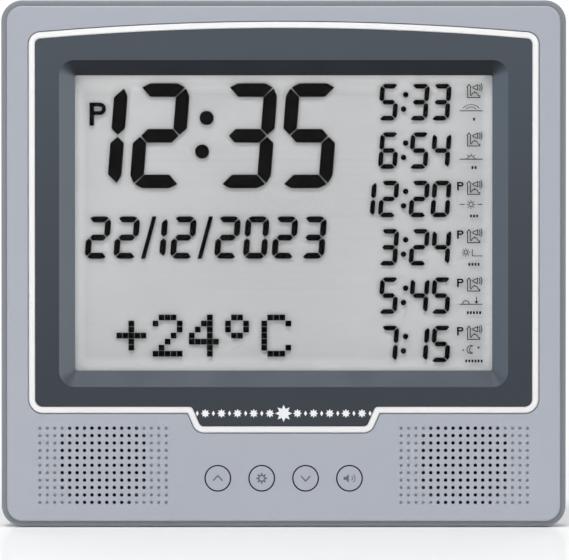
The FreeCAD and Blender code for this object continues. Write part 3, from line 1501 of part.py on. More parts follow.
def make_wiring(basket_back):
    half = s.lead_pitch / 2
    for name, side in SIDES:
        solids = []
        start_z = SPEAKER_Z + (s.magnet_radius + s.basket_foot + s.basket_wall) / 2
        high = s.glass_bottom + s.holder_wall
        run = basket_back + s.lead_drop.value
        for way in (-1, 1):
            x = side * s.grille_x + way * half
            solids.append(round_lead([
                (x, basket_back, start_z), (x, run, start_z), (x, run, high), (x, BOARD_BACK, high),
            ]))
        wire_node(f"speaker_leads_{name}", *solids)

    solids = []
    for side, index in ((-1, 2), (1, 0)):
        start_x = side * (s.battery_half_length + s.battery_wall + 2)
        turn_x = start_x + side * s.lead_sweep.value
        z = cell_z(index) + TAIL_RISE
        solids.append(round_lead([(start_x, CELL_Y, z), (turn_x, CELL_Y, z), (turn_x, BOARD_BACK, z)]))
    wire_node("battery_leads", *solids)

    top = s.inlet_z + s.jack_width / 2
    knee = top + s.power_lead_rise
    y = BACK_INSIDE - s.jack_depth + s.lead_exit
    solids = []
    for way in (-1, 1):
        x = s.inlet_x + way * s.lead_pitch
        solids.append(round_lead([(x, y, top), (x, y, knee), (x, BOARD_BACK, knee)]))
    wire_node("power_leads", *solids)

    ribbon_z = s.button_board_top - s.lead_exit
    start = Vector(0, BUTTON_BOARD_BACK.value, ribbon_z.value)
    across, thick = Vector(s.ribbon_half_width.value, 0, 0), Vector(0, 0, s.ribbon_thick.value / 2)
    corners = [start - across - thick, start + across - thick,
               start + across + thick, start - across + thick]
    profile = Part.makePolygon(corners + corners[:1])
    run = BUTTON_BOARD_BACK + s.lead_drop
    end_z = s.glass_bottom + 2
    points = [(0, BUTTON_BOARD_BACK, ribbon_z), (0, run, ribbon_z), (0, run, end_z), (0, BOARD_BACK, end_z)]
    wire_node("button_ribbon", lead(points, profile))


def check():
    """Stops if a feature failed or a sub-part has no sound shape."""
    doc.recompute()
    for item in doc.Objects:
        if "Invalid" in item.State or "Error" in item.State:
            raise RuntimeError(f"{item.Name} failed: {item.State}")
    for item in nodes:
        if item.Shape.isNull() or not item.Shape.isValid() or item.Shape.Volume <= 0:
            raise RuntimeError(f"{item.Label} has no sound shape")


def main():
    make_front_housing()
    make_trim_ring()
    make_display_bezel()
    make_display()
    make_digits()
    make_boards()
    make_components()
    for name, side in SIDES:
        basket_back = make_speaker(name, side)
    for name, x in zip(BUTTONS, BUTTON_X):
        make_button(name, x)
        make_dome(name, x)
    make_rear_cover()
    make_battery_door()
    make_cells()
    make_contacts()
    make_springs()
    make_jack()
    make_stand()
    make_screws()
    make_wiring(basket_back)
    check()
    os.makedirs("parts", exist_ok=True)
    for item in nodes:
        item.Shape.exportStep(f"parts/{item.Label}.step")
    print(f"{len(nodes)} sub-parts written")


main()
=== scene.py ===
import json
import math

import bpy
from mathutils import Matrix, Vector


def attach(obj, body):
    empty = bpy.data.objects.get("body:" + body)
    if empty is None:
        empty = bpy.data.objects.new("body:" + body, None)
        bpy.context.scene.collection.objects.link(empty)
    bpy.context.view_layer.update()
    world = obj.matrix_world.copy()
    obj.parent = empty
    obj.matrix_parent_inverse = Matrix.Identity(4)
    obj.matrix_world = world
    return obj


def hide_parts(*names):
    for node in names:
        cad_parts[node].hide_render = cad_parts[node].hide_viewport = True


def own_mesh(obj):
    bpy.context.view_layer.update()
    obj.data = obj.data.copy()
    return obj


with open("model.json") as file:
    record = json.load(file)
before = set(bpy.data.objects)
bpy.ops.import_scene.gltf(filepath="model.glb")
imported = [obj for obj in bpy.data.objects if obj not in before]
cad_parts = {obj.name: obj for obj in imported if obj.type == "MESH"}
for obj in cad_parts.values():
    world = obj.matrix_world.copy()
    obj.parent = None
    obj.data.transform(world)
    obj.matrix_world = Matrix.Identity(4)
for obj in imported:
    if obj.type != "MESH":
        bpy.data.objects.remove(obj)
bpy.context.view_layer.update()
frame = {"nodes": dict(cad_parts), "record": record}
nodes = frame["nodes"]
scene = bpy.context.scene

MM = 0.001
PIXEL = 0.4708              # millimetres of the clock for one pixel of the photo
PHOTO_WIDTH = 569
PHOTO_MIDDLE = 283.6        # pixel column of the clock's middle
PHOTO_FLOOR = 527.05        # pixel row that the clock stands on

# Depths of the planes that carry prints and the painted shadow in the button gaps, and how far a print
# stands off its plane
INK_Y = -7.66 * MM
FACE_Y = -15.7 * MM
GAP_SHADE_Y = -15.2 * MM
CAP_Y = -16.0 * MM
BACK_Y = 16.0 * MM
PROUD = 0.03 * MM
LABEL_PROUD = 0.07 * MM


# Materials

def new_material(name):
    material = bpy.data.materials.new(name)
    material.use_nodes = True
    tree = material.node_tree
    tree.nodes.clear()
    return material, tree


def add(tree, kind, **settings):
    item = tree.nodes.new(kind)
    for key, value in settings.items():
        setattr(item, key, value)
    return item


def noise(tree, scale, detail=3.0, stretch=(1, 1, 1)):
    """Cloudy variation over the object's own space."""
    place = add(tree, "ShaderNodeTexCoord")
    mapping = add(tree, "ShaderNodeMapping")
    mapping.inputs["Scale"].default_value = stretch
    tree.links.new(place.outputs["Object"], mapping.inputs["Vector"])
    texture = add(tree, "ShaderNodeTexNoise")
    texture.inputs["Scale"].default_value = scale
    texture.inputs["Detail"].default_value = detail
    tree.links.new(mapping.outputs["Vector"], texture.inputs["Vector"])
    return texture.outputs["Fac"]


def spread(tree, source, low, high):
    """Noise, most of which lies between 0.3 and 0.7, brought to a range of its own."""
    ramp = add(tree, "ShaderNodeMapRange")
    ramp.inputs["From Min"].default_value = 0.3
    ramp.inputs["From Max"].default_value = 0.7
    ramp.inputs["To Min"].default_value = low
    ramp.inputs["To Max"].default_value = high
    tree.links.new(source, ramp.inputs["Value"])
    return ramp.outputs["Result"]


def blend(tree, factor, first, second):
    """A colour between two others, each a colour or a socket."""
    mix = add(tree, "ShaderNodeMix", data_type="RGBA")
    tree.links.new(factor, mix.inputs["Factor"])
    for socket, colour in ((mix.inputs[6], first), (mix.inputs[7], second)):
        if isinstance(colour, tuple):
            socket.default_value = (*colour, 1)
        else:
            tree.links.new(colour, socket)
    return mix.outputs[2]


def mixed(tree, factor, first, second):
    """A shader between two others, by a number or a socket."""
    mix = add(tree, "ShaderNodeMixShader")
    if isinstance(factor, float):
        mix.inputs["Fac"].default_value = factor
    else:
        tree.links.new(factor, mix.inputs["Fac"])
    tree.links.new(first, mix.inputs[1])
    tree.links.new(second, mix.inputs[2])
    return mix.outputs["Shader"]


def share_along(tree, vector, axis, start, end):
    """0 to 1 while one part of a vector goes from start to end."""
    parts = add(tree, "ShaderNodeSeparateXYZ")
    tree.links.new(vector, parts.inputs["Vector"])
    share = add(tree, "ShaderNodeMapRange")
    share.inputs["From Min"].default_value = start
    share.inputs["From Max"].default_value = end
    tree.links.new(parts.outputs[axis], share.inputs["Value"])
    return share.outputs["Result"]


def show(tree, shader):
    out = add(tree, "ShaderNodeOutputMaterial")
    tree.links.new(shader, out.inputs["Surface"])


def linear(r, g, b):
    """A screen colour, 0 to 255, as scene light."""
    shares = [v / 255 for v in (r, g, b)]
    return tuple(((v + 0.055) / 1.055) ** 2.4 if v > 0.04 else v / 12.92 for v in shares)


def shade(colour, by):
    return tuple(min(1.0, v * by) for v in colour)


def finish_of(name, colour, rough, varied=0.06, grain=900, depth=0.02, metal=0.0,
              stretch=(1, 1, 1), shine=0.5, painted_shading_slopes=(), painted_shading_fades=()):
    """A surface whose tint, gloss and relief all vary a little.

    The relief's grain is a noise scale and its depth is in millimetres. A fade paints light or
    shade into the tint from one place in millimetres to another, and a slope paints light or shade
    on the faces that look along an axis.
    """
    material, tree = new_material(name)
    surface = add(tree, "ShaderNodeBsdfPrincipled")
    broad = spread(tree, noise(tree, 14.0, 4.0), 0.0, 1.0)
    base = blend(tree, broad, shade(colour, 1 - varied), shade(colour, 1 + varied))
    # Painted light and shade that changes with place
    for axis, start, end, tint in painted_shading_fades:
        place = add(tree, "ShaderNodeTexCoord").outputs["Object"]
        base = blend(tree, share_along(tree, place, axis, start * MM, end * MM), base, tint)
    # Painted light and shade by which way a face looks
    for axis, start, end, tint in painted_shading_slopes:
        facing = add(tree, "ShaderNodeNewGeometry").outputs["Normal"]
        base = blend(tree, share_along(tree, facing, axis, start, end), base, tint)
    tree.links.new(base, surface.inputs["Base Color"])
    tree.links.new(spread(tree, noise(tree, 60.0), rough * 0.88, min(1.0, rough * 1.12)),
                   surface.inputs["Roughness"])
    surface.inputs["Metallic"].default_value = metal
    surface.inputs["Specular IOR Level"].default_value = shine
    bump = add(tree, "ShaderNodeBump")
    bump.inputs["Strength"].default_value = 0.6
    bump.inputs["Distance"].default_value = depth * MM
    tree.links.new(noise(tree, grain, 2.0, stretch), bump.inputs["Height"])
    tree.links.new(bump.outputs["Normal"], surface.inputs["Normal"])
    show(tree, surface.outputs["BSDF"])
    return material


def pane_of(name, tint, gloss, rough):
    """A clear sheet: it lets light straight through and mirrors a little."""
    material, tree = new_material(name)
    clear = add(tree, "ShaderNodeBsdfTransparent")
    broad = spread(tree, noise(tree, 10.0), 0.0, 1.0)
    tree.links.new(blend(tree, broad, shade(tint, 0.99), tint), clear.inputs["Color"])
    mirror = add(tree, "ShaderNodeBsdfGlossy")
    mirror.inputs["Color"].default_value = (1, 1, 1, 1)
    tree.links.new(spread(tree, noise(tree, 60.0), rough * 0.9, rough * 1.1),
                   mirror.inputs["Roughness"])
    show(tree, mixed(tree, gloss, clear.outputs["BSDF"], mirror.outputs["BSDF"]))
    return material


def board_of(name):
    """Green solder mask over copper tracks, which show as paler lines."""
    material, tree = new_material(name)
    surface = add(tree, "ShaderNodeBsdfPrincipled")
    place = add(tree, "ShaderNodeTexCoord")
    tracks = add(tree, "ShaderNodeTexBrick")
    tracks.inputs["Scale"].default_value = 160.0
    tracks.inputs["Mortar Size"].default_value = 0.03
    tracks.inputs["Color1"].default_value = (0.012, 0.11, 0.045, 1)
    tracks.inputs["Color2"].default_value = (0.016, 0.14, 0.06, 1)
    tracks.inputs["Mortar"].default_value = (0.05, 0.27, 0.12, 1)
    turn = add(tree, "ShaderNodeMapping")
    turn.inputs["Rotation"].default_value = (math.pi / 2, 0, 0)
    tree.links.new(place.outputs["Object"], turn.inputs["Vector"])
    tree.links.new(turn.outputs["Vector"], tracks.inputs["Vector"])
    tree.links.new(tracks.outputs["Color"], surface.inputs["Base Color"])
    tree.links.new(spread(tree, noise(tree, 80.0), 0.28, 0.4), surface.inputs["Roughness"])
    show(tree, surface.outputs["BSDF"])
    return material


CELL_REACH = 25.5 * MM
CELL_TIP = (0.62, 0.62, 0.64, 1)
CELL_SLEEVE = (0.035, 0.045, 0.07, 1)
CELL_LINE = (0.62, 0.62, 0.60, 1)
CELL_BAND = (0.42, 0.19, 0.06, 1)


def cell_of(name, way):
    """A cell's sleeve: dark with a warm band near the raised end, bare metal at the tips."""
    material, tree = new_material(name)
    surface = add(tree, "ShaderNodeBsdfPrincipled")
    place = add(tree, "ShaderNodeTexCoord").outputs["Object"]
    bands = add(tree, "ShaderNodeValToRGB")
    bands.color_ramp.interpolation = "CONSTANT"
    stops = bands.color_ramp.elements
    stops[0].position, stops[0].color = 0.0, CELL_TIP
    stops[1].position, stops[1].color = 0.03, CELL_SLEEVE
    for position, colour in ((0.70, CELL_LINE), (0.715, CELL_BAND), (0.955, CELL_TIP)):
        stops.new(position).color = colour
    along = share_along(tree, place, "X", -CELL_REACH * way, CELL_REACH * way)
    tree.links.new(along, bands.inputs["Fac"])
    tree.links.new(bands.outputs["Color"], surface.inputs["Base Color"])
    tree.links.new(spread(tree, noise(tree, 70.0), 0.24, 0.36), surface.inputs["Roughness"])
    surface.inputs["Metallic"].default_value = 0.4
    show(tree, surface.outputs["BSDF"])
    return material


# One look for each slot of the record, and three for prints
LOOKS = {
    # Painted shade: the housing's face turns slightly darker towards the top.
    "housing_grey": finish_of("housing_grey", linear(163, 167, 176), 0.42, 0.02, 1400, 0.012,
                              painted_shading_fades=(("Z", 20, 230, linear(157, 161, 170)),)),
    # Painted light: the cover's faces that look downward are much paler, as if lit from below.
    "cover_grey": finish_of("cover_grey", linear(124, 129, 136), 0.46, 0.03, 1200, 0.02,
                            painted_shading_slopes=(("Z", -0.5, -0.9, linear(170, 175, 182)),)),
    "trim_white": finish_of("trim_white", linear(229, 228, 228), 0.3, 0.01, 900, 0.004),
    # Painted shade and light: the dark frame turns darker towards the bottom, and its slopes take tints
    # by which way they face, paler to the sides and nearly black on the slope that faces down, where
    # the shade falls.
    "bezel_slate": finish_of("bezel_slate", linear(61, 68, 75), 0.46, 0.03, 1400, 0.012, shine=0.3,
                             painted_shading_fades=(("Z", 225, 70, linear(46, 51, 59)),),
                             painted_shading_slopes=(("X", 0.1, 0.6, linear(94, 102, 109)),
                                     ("X", -0.1, -0.6, linear(76, 86, 96)),
                                     ("Z", 0.1, 0.6, linear(57, 65, 75)),
                                     ("Z", -0.1, -0.6, linear(4, 17, 28)))),
    "clear_window": pane_of("clear_window", (0.99, 0.99, 0.99), 0.004, 0.06),
    "lcd_film": pane_of("lcd_film", (0.97, 0.97, 0.97), 0.001, 0.3),
    "lcd_glass": pane_of("lcd_glass", (0.99, 0.99, 0.99), 0.001, 0.08),
    # Painted light: the display ground turns paler near its four edges, most at the top, to offset the
    # shadow that the frame throws on it.
    "lcd_reflector": finish_of("lcd_reflector", linear(204, 205, 206), 0.6, 0.012, 2500, 0.004,
                               painted_shading_fades=(("Z", 204, 211, linear(255, 255, 255)),
                                      ("Z", 80, 74, linear(236, 237, 238)),
                                      ("X", -93, -98, linear(236, 237, 238)),
                                      ("X", 93, 98, linear(236, 237, 238)))),
    "lcd_seal": finish_of("lcd_seal", (0.42, 0.42, 0.40), 0.5),
    "lcd_black": finish_of("lcd_black", (0.002, 0.002, 0.002), 0.6, 0.1, 900, 0.001, shine=0.0),
    "holder_white": finish_of("holder_white", (0.74, 0.73, 0.70), 0.45, 0.02),
    "contact_rubber": finish_of("contact_rubber", (0.012, 0.014, 0.02), 0.8, 0.2, 1600, 0.03,
                                stretch=(12, 1, 1), shine=0.2),
    "board_green": board_of("board_green"),
    "chip_black": finish_of("chip_black", (0.012, 0.012, 0.013), 0.22, 0.1, 500, 0.02),
    "capacitor_sleeve": finish_of("capacitor_sleeve", (0.02, 0.03, 0.09), 0.3, 0.08),
    "bright_metal": finish_of("bright_metal", (0.72, 0.71, 0.69), 0.22, 0.04, 700, 0.01, metal=1.0),
    "foam": finish_of("foam", (0.03, 0.03, 0.032), 0.95, 0.2, 1100, 0.2),
    "basket_steel": finish_of("basket_steel", (0.10, 0.10, 0.11), 0.4, 0.08, 800, 0.01, metal=0.6),
    "cone_paper": finish_of("cone_paper", (0.03, 0.03, 0.03), 0.85, 0.2, 600, 0.12),
    "magnet_iron": finish_of("magnet_iron", (0.13, 0.13, 0.14), 0.5, 0.1, 500, 0.05, metal=0.7),
    "dome_rubber": finish_of("dome_rubber", (0.45, 0.46, 0.48), 0.7, 0.04, 700, 0.03),
    "cell_sleeve": cell_of("cell_sleeve", 1),
    "inlet_black": finish_of("inlet_black", (0.015, 0.015, 0.016), 0.3, 0.1, 700, 0.01),
    "screw_steel": finish_of("screw_steel", (0.56, 0.56, 0.58), 0.3, 0.05, 900, 0.015, metal=1.0),
    "lead_black": finish_of("lead_black", (0.02, 0.02, 0.02), 0.45, 0.1),
    "lead_red": finish_of("lead_red", (0.45, 0.02, 0.015), 0.45, 0.08),
    "ribbon_grey": finish_of("ribbon_grey", (0.38, 0.38, 0.40), 0.5, 0.05, 500, 0.1,
                             stretch=(6, 1, 1)),
    "ink_grey": finish_of("ink_grey", linear(84, 89, 97), 0.5, 0.05, 900, 0.002),
    "ink_pale": finish_of("ink_pale", linear(228, 229, 232), 0.4, 0.03, 900, 0.002),
    "label_silver": finish_of("label_silver", (0.62, 0.63, 0.64), 0.35, 0.03, 500, 0.005, metal=0.4),
}
CELL_BACKWARD = cell_of("cell_sleeve_backward", -1)     # the middle cell lies the other way round

for entry in frame["record"]["subparts"]:
    name = entry["node"]
    look = LOOKS[entry["material_slot"]]
    if name == "battery_cell_2":
        look = CELL_BACKWARD
    nodes[name].data.materials.clear()
    nodes[name].data.materials.append(look)


# Flat marks

class Marks:
    """Flat shapes in a plane facing the front or the back, collected into one piece."""

    def __init__(self, name, y, slot, look=None):
        self.name, self.y, self.slot = name, y, slot
        self.look = LOOKS[look or slot]
        self.points, self.faces = [], []

    def polygon(self, outline):
        first = len(self.points)
        self.points += [(x * MM, self.y, z * MM) for x, z in outline]
        order = list(range(first, first + len(outline)))
        self.faces.append(order if self.y < 0 else order[::-1])

    def box(self, x0, z0, x1, z1):
        self.polygon([(x0, z0), (x1, z0), (x1, z1), (x0, z1)])

    def disc(self, x, z, radius):
        sides = 28
        turn = 2 * math.pi / sides
        self.polygon([(x + radius * math.cos(i * turn), z + radius * math.sin(i * turn))
                      for i in range(sides)])

    def band(self, outer, inner):
        """The strip between two lines of points."""
        for i in range(len(outer) - 1):
            self.polygon([inner[i], inner[i + 1], outer[i + 1], outer[i]])

    def arc(self, x, z, radius, width, start, end, flat=1.0):
        """A curved line from one angle in degrees to another, 7 degrees or less a step."""
        steps = max(8, int(abs(end - start) / 7))
        outer, inner = [], []
        for i in range(steps + 1):
            angle = math.radians(start + (end - start) * i / steps)
            for ring, reach in ((outer, radius + width / 2), (inner, radius - width / 2)):
                ring.append((x + reach * math.cos(angle), z + flat * reach * math.sin(angle)))
        self.band(outer, inner)

    def stroke(self, path, width):
        """A line of even width with mitred corners."""
        sides = ([], [])
        for i, (x, z) in enumerate(path):
            before, after = path[max(i - 1, 0)], path[min(i + 1, len(path) - 1)]
            first = Vector((x - before[0], z - before[1]))
            second = Vector((after[0] - x, after[1] - z))
            first = first.normalized() if first.length else second.normalized()
            second = second.normalized() if second.length else first
            normal = Vector((-(first + second).y, (first + second).x)).normalized()
            across = Vector((-second.y, second.x))
            reach = width / 2 / max(0.4, normal.dot(across))
            sides[0].append((x + normal.x * reach, z + normal.y * reach))
            sides[1].append((x - normal.x * reach, z - normal.y * reach))
        self.band(*sides)

    def star(self, x, z, outer, inner, count):
        outline = []
        for i in range(2 * count):
            angle = math.pi / 2 + i * math.pi / count
            reach = inner if i % 2 else outer
            outline.append((x + reach * math.cos(angle), z + reach * math.sin(angle)))
        self.polygon(outline)

    def done(self, body="case"):
        """Makes the piece, which then moves with a body."""
        mesh = bpy.data.meshes.new(self.name)
        mesh.from_pydata(self.points, [], self.faces)
        mesh.validate()
        item = bpy.data.objects.new(self.name, mesh)
        scene.collection.objects.link(item)
        mesh.materials.append(self.look)
        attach(item, body)


def letter_p(marks, left, bottom, width, height, stem):
    """The afternoon marker of a twelve-hour clock."""
    marks.box(left, bottom, left + stem, bottom + height)
    top = bottom + height
    radius = height * 0.27
    middle = top - radius
    straight = left + width - radius
    bar = stem * 0.85
    marks.box(left + stem, top - bar, straight, top)
    marks.box(left + stem, middle - radius, straight, middle - radius + bar)
    marks.arc(straight, middle, radius - stem * 0.45, stem * 0.9, -90, 90)


def calling(marks, x, z):
    """A tower and a dome with a horn and its sound above. The lower left corner is given."""
    line = 0.4
    marks.stroke([(x + 1.5, z + 1.0), (x + 1.5, z + 4.9), (x + 1.8, z + 5.1), (x + 0.85, z + 6.4),
                  (x - 0.1, z + 5.1), (x + 0.2, z + 4.9), (x + 0.2, z + 0.2), (x + 6.0, z + 0.2),
                  (x + 6.0, z + 1.0), (x + 5.2, z + 1.0)], line)
    marks.arc(x + 3.6, z + 1.0, 1.55, line, 0, 180)
    marks.stroke([(x + 3.6, z + 2.5), (x + 3.6, z + 3.2)], line)
    marks.stroke([(x + 5.0, z + 3.7), (x + 2.7, z + 4.7), (x + 2.7, z + 5.2), (x + 5.0, z + 6.2),
                  (x + 5.0, z + 3.8)], line)
    for radius in (2.5, 3.4):
        marks.arc(x + 3.6, z + 4.95, radius, line, -34, 34)


def ray(marks, x, z, angle, near, far, width):
    """A line that points away from a middle."""
    along, up = math.cos(angle), math.sin(angle)
    marks.stroke([(x + along * near, z + up * near), (x + along * far, z + up * far)], width)


SIGN_LINE = 0.36


def sun(marks, x, z, radius, rays, half=False):
    marks.arc(x, z, radius, SIGN_LINE, 0, 180 if half else 360)
    for i in range(rays):
        angle = math.pi * i / (rays - 1) if half else 2 * math.pi * i / rays
        ray(marks, x, z, angle, radius + 0.45, radius + 1.1, SIGN_LINE)


def hour_sign(marks, row, x, z):
    """What the sun does at each prayer, centred on a point."""
    line = SIGN_LINE
    ground = [(x - 5.4, z - 1.5), (x + 5.4, z - 1.5)]
    if row == 0:
        marks.stroke(ground, line)
        marks.arc(x, z - 1.5, 2.6, line, 25, 155, 0.7)
        marks.arc(x, z - 1.5, 4.2, line, 25, 155, 0.7)
    elif row == 1:
        marks.stroke(ground, line)
        sun(marks, x, z - 1.3, 1.5, 5, True)
    elif row == 2:
        sun(marks, x, z, 1.0, 8)
        marks.stroke([(x - 5.4, z), (x - 3.0, z)], line)
        marks.stroke([(x + 3.0, z), (x + 5.4, z)], line)
    elif row == 3:
        sun(marks, x - 2.4, z + 0.2, 0.85, 8)
        marks.stroke([(x + 0.6, z + 1.6), (x + 0.6, z - 1.5), (x + 5.4, z - 1.5)], line)
    elif row == 4:
        marks.stroke(ground, line)
        marks.arc(x - 2.4, z - 1.3, 1.5, line, 0, 180)
        marks.stroke([(x + 2.6, z + 2.0), (x + 2.6, z - 0.4)], line)
        marks.polygon([(x + 1.6, z - 0.1), (x + 2.6, z - 1.2), (x + 3.6, z - 0.1)])
    else:
        marks.arc(x, z, 1.9, line, 60, 300)
        marks.arc(x + 0.95, z, 1.65, line, 90, 270)
        marks.star(x + 3.6, z + 0.9, 0.8, 0.35, 5)
        marks.star(x - 3.6, z - 0.3, 0.6, 0.26, 5)


def photo_x(pixel):
    """Millimetres to the right of the clock's middle."""
    return (pixel - PHOTO_MIDDLE) * PIXEL


def photo_z(pixel):
    """Millimetres above the floor."""
    return (PHOTO_FLOOR - pixel) * PIXEL


# Markers and signs on the display. Columns, rows and drops are pixels of the photo, and a drop is
# how far below the top of its row of digits something lies. Stems, pitches and halves are millimetres.
ROWS = 6
ROW_TOP = 84.5
ROW_STEP = 48.5
FIRST_AFTERNOON_ROW = 2
CLOCK_P_COLUMN, CLOCK_P_ROW = 88.9, 125.5
CLOCK_P_WIDTH, CLOCK_P_HEIGHT = 16.6, 23.1
CLOCK_P_STEM = 2.15
ROW_P_COLUMN, ROW_P_DROP = 457.5, 9.0
ROW_P_WIDTH, ROW_P_HEIGHT = 6.5, 8.5
ROW_P_STEM = 0.85
CALLING_COLUMN, CALLING_DROP = 467.6, 13.3
HOUR_COLUMN, HOUR_DROP = 471.5, 23.0
DOTS_COLUMN, DOTS_UPPER_DROP, DOTS_LOWER_DROP = 474.5, 33.2, 36.0
DOT_PITCH = 1.45
DOT_HALF = 0.45
ink = Marks("display_marks", INK_Y, "lcd_black")
letter_p(ink, photo_x(CLOCK_P_COLUMN), photo_z(CLOCK_P_ROW),
         CLOCK_P_WIDTH * PIXEL, CLOCK_P_HEIGHT * PIXEL, CLOCK_P_STEM)
for row in range(ROWS):
    top = ROW_TOP + ROW_STEP * row
    if row >= FIRST_AFTERNOON_ROW:
        letter_p(ink, photo_x(ROW_P_COLUMN), photo_z(top + ROW_P_DROP),
                 ROW_P_WIDTH * PIXEL, ROW_P_HEIGHT * PIXEL, ROW_P_STEM)
    calling(ink, photo_x(CALLING_COLUMN), photo_z(top + CALLING_DROP))
    hour_sign(ink, row, photo_x(HOUR_COLUMN), photo_z(top + HOUR_DROP))
    dots_low, dots_high = photo_z(top + DOTS_LOWER_DROP), photo_z(top + DOTS_UPPER_DROP)
    for dot in range(row + 1):
        x = photo_x(DOTS_COLUMN) + (dot - row / 2) * DOT_PITCH
        ink.box(x - DOT_HALF, dots_low, x + DOT_HALF, dots_high)
ink.done()

# A row of stars and lozenges on the tongue of the dark frame
TONGUE_ROW = 413.5
TONGUE_Z = photo_z(TONGUE_ROW)
STARS_A_SIDE = 5
FIRST_STAR = 6.5
STAR_PITCH = 7.6
LOZENGE = ((-0.75, 0), (0, -1.3), (0.75, 0), (0, 1.3))
ornament = Marks("tongue_ornament", FACE_Y - PROUD, "trim_white", "ink_pale")
for side in (-1, 1):
    for index in range(STARS_A_SIDE):
        x = side * (FIRST_STAR + index * STAR_PITCH)
        ornament.star(x, TONGUE_Z, 2.1, 1.25, 8)
        ornament.polygon([(x + side * STAR_PITCH / 2 + dx, TONGUE_Z + dz) for dx, dz in LOZENGE])
ornament.star(0, TONGUE_Z, 4.0, 2.3, 8)
ornament.done()

# Painted shadow: a flat dark ring in the gap round each button, standing in for the shade in that gap;
# and a sign on each cap
BUTTON_Z = 22.86
BUTTON_X = {"up": -31.005, "set": -10.335, "down": 10.335, "sound": 31.005}
GAP_SHADE_RADIUS = 6.02
GAP_SHADE_WIDTH = 0.62
LINE = 0.6
TOOTH = 0.75
gap_shade = Marks("button_gap_shade", GAP_SHADE_Y, "contact_rubber")
for name, x in BUTTON_X.items():
    gap_shade.arc(x, BUTTON_Z, GAP_SHADE_RADIUS, GAP_SHADE_WIDTH, 0, 360)
    sign = Marks(f"button_{name}_sign", CAP_Y - PROUD, "housing_grey", "ink_grey")
    z = BUTTON_Z
    if name in ("up", "down"):
        up = 1 if name == "up" else -1
        sign.stroke([(x - 2.2, z - 1.1 * up), (x, z + 1.3 * up), (x + 2.2, z - 1.1 * up)], LINE)
    elif name == "set":
        sign.arc(x, z, 1.35, LINE, 0, 360)
        for i in range(8):
            ray(sign, x, z, i * math.pi / 4, 1.5, 2.5, TOOTH)
    else:
        sign.polygon([(x - 2.8, z - 0.7), (x - 1.7, z - 0.7), (x - 0.3, z - 2.0), (x - 0.3, z + 2.0),
                      (x - 1.7, z + 0.7), (x - 2.8, z + 0.7)])
        for radius in (1.2, 2.4):
            sign.arc(x + 0.2, z, radius, 0.42, -48, 48)
    sign.done(f"button_{name}_cap")
gap_shade.done()

# Rubber domes, which flatten onto the board as their buttons go in
for name, x in BUTTON_X.items():
    solid = nodes[f"dome_{name}"]
    dome = bpy.data.objects.new(f"dome_{name}_rubber", solid.data.copy())
    dome.matrix_world = solid.matrix_world
    scene.collection.objects.link(dome)
    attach(dome, "case")
    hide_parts(f"dome_{name}")
    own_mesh(dome)

# The label on the back: a frame, the signs of a round plug with its inner pole, and three lines
PLATE_LEFT, PLATE_LOW, PLATE_RIGHT, PLATE_HIGH = 46.0, 108.0, 92.0, 134.0
FRAME_INSET = 1.2
FRAME_LINE = 0.3
POLE_X = 62.0
POLE_Z = 127.0
THIN, THICK = 0.4, 0.5
TEXT_LEFT = 51.0
TEXT_TOP = 119.5
TEXT_PITCH = 3.4
TEXT_HEIGHT = 0.9
plate = Marks("rating_label", BACK_Y + PROUD, "cover_grey", "label_silver")
plate.box(PLATE_LEFT, PLATE_LOW, PLATE_RIGHT, PLATE_HIGH)
plate.done()
print_on = Marks("rating_marks", BACK_Y + LABEL_PROUD, "cover_grey", "ink_grey")
left, right = PLATE_LEFT + FRAME_INSET, PLATE_RIGHT - FRAME_INSET
low, high = PLATE_LOW + FRAME_INSET, PLATE_HIGH - FRAME_INSET
print_on.stroke([(left, low), (right, low), (right, high), (left, high), (left, low + 0.4)], FRAME_LINE)
print_on.arc(POLE_X, POLE_Z, 2.4, THIN, 35, 325)
print_on.disc(POLE_X, POLE_Z, 0.9)
for left, right, width in ((54, 59.6, THIN), (62.8, 70, THIN), (72, 76, THICK), (50, 52, THICK)):
    print_on.stroke([(left, POLE_Z), (right, POLE_Z)], width)
print_on.stroke([(TEXT_LEFT, POLE_Z - 1), (TEXT_LEFT, POLE_Z + 1)], THICK)
for index, length in enumerate((30, 24, 34)):
    z = TEXT_TOP - index * TEXT_PITCH
    print_on.box(TEXT_LEFT, z, TEXT_LEFT + length, z + TEXT_HEIGHT)
print_on.done()

# Two arrows on the battery door, pointing the way that it opens
door = Marks("door_marks", BACK_Y + PROUD, "cover_grey", "ink_grey")
for z in (136.2, 132.8):
    door.stroke([(-3.2, z + 3.3), (0, z), (3.2, z + 3.3)], 0.7)
door.done("battery_door")


# Light, floor and camera

def area(name, place, target, size, power):
    """A soft lamp that faces a target."""
    lamp = bpy.data.lights.new(name, "AREA")
    lamp.shape = "RECTANGLE"
    lamp.size, lamp.size_y = size
    lamp.energy = power
    item = bpy.data.objects.new(name, lamp)
    item.location = place
    item.rotation_euler = (Vector(target) - Vector(place)).to_track_quat("-Z", "Y").to_euler()
    scene.collection.objects.link(item)


CENTRE = (0.0004, -0.0157, 0.1163)      # middle of the photo's field, in the plane of the face
area("key", (-0.15, -0.75, 1.35), CENTRE, (0.9, 0.4), 13)
area("left", (-1.3, -0.9, 0.25), CENTRE, (0.4, 0.9), 3.6)
area("right", (1.3, -0.9, 0.25), CENTRE, (0.4, 0.9), 3.6)
area("front", (0.0, -2.0, 1.3), CENTRE, (0.8, 0.5), 4.6)
area("back", (0.0, 1.3, 1.0), (0.0, 0.35, 0.0), (1.4, 0.7), 9)

def background_rays(tree):
    """1 for the rays that show the background: straight, mirrored or through glass."""
    path = add(tree, "ShaderNodeLightPath")
    total = path.outputs["Is Camera Ray"]
    for kind in ("Is Glossy Ray", "Is Transmission Ray"):
        either = add(tree, "ShaderNodeMath", operation="MAXIMUM")
        tree.links.new(total, either.inputs[0])
        tree.links.new(path.outputs[kind], either.inputs[1])
        total = either.outputs["Value"]
    return total


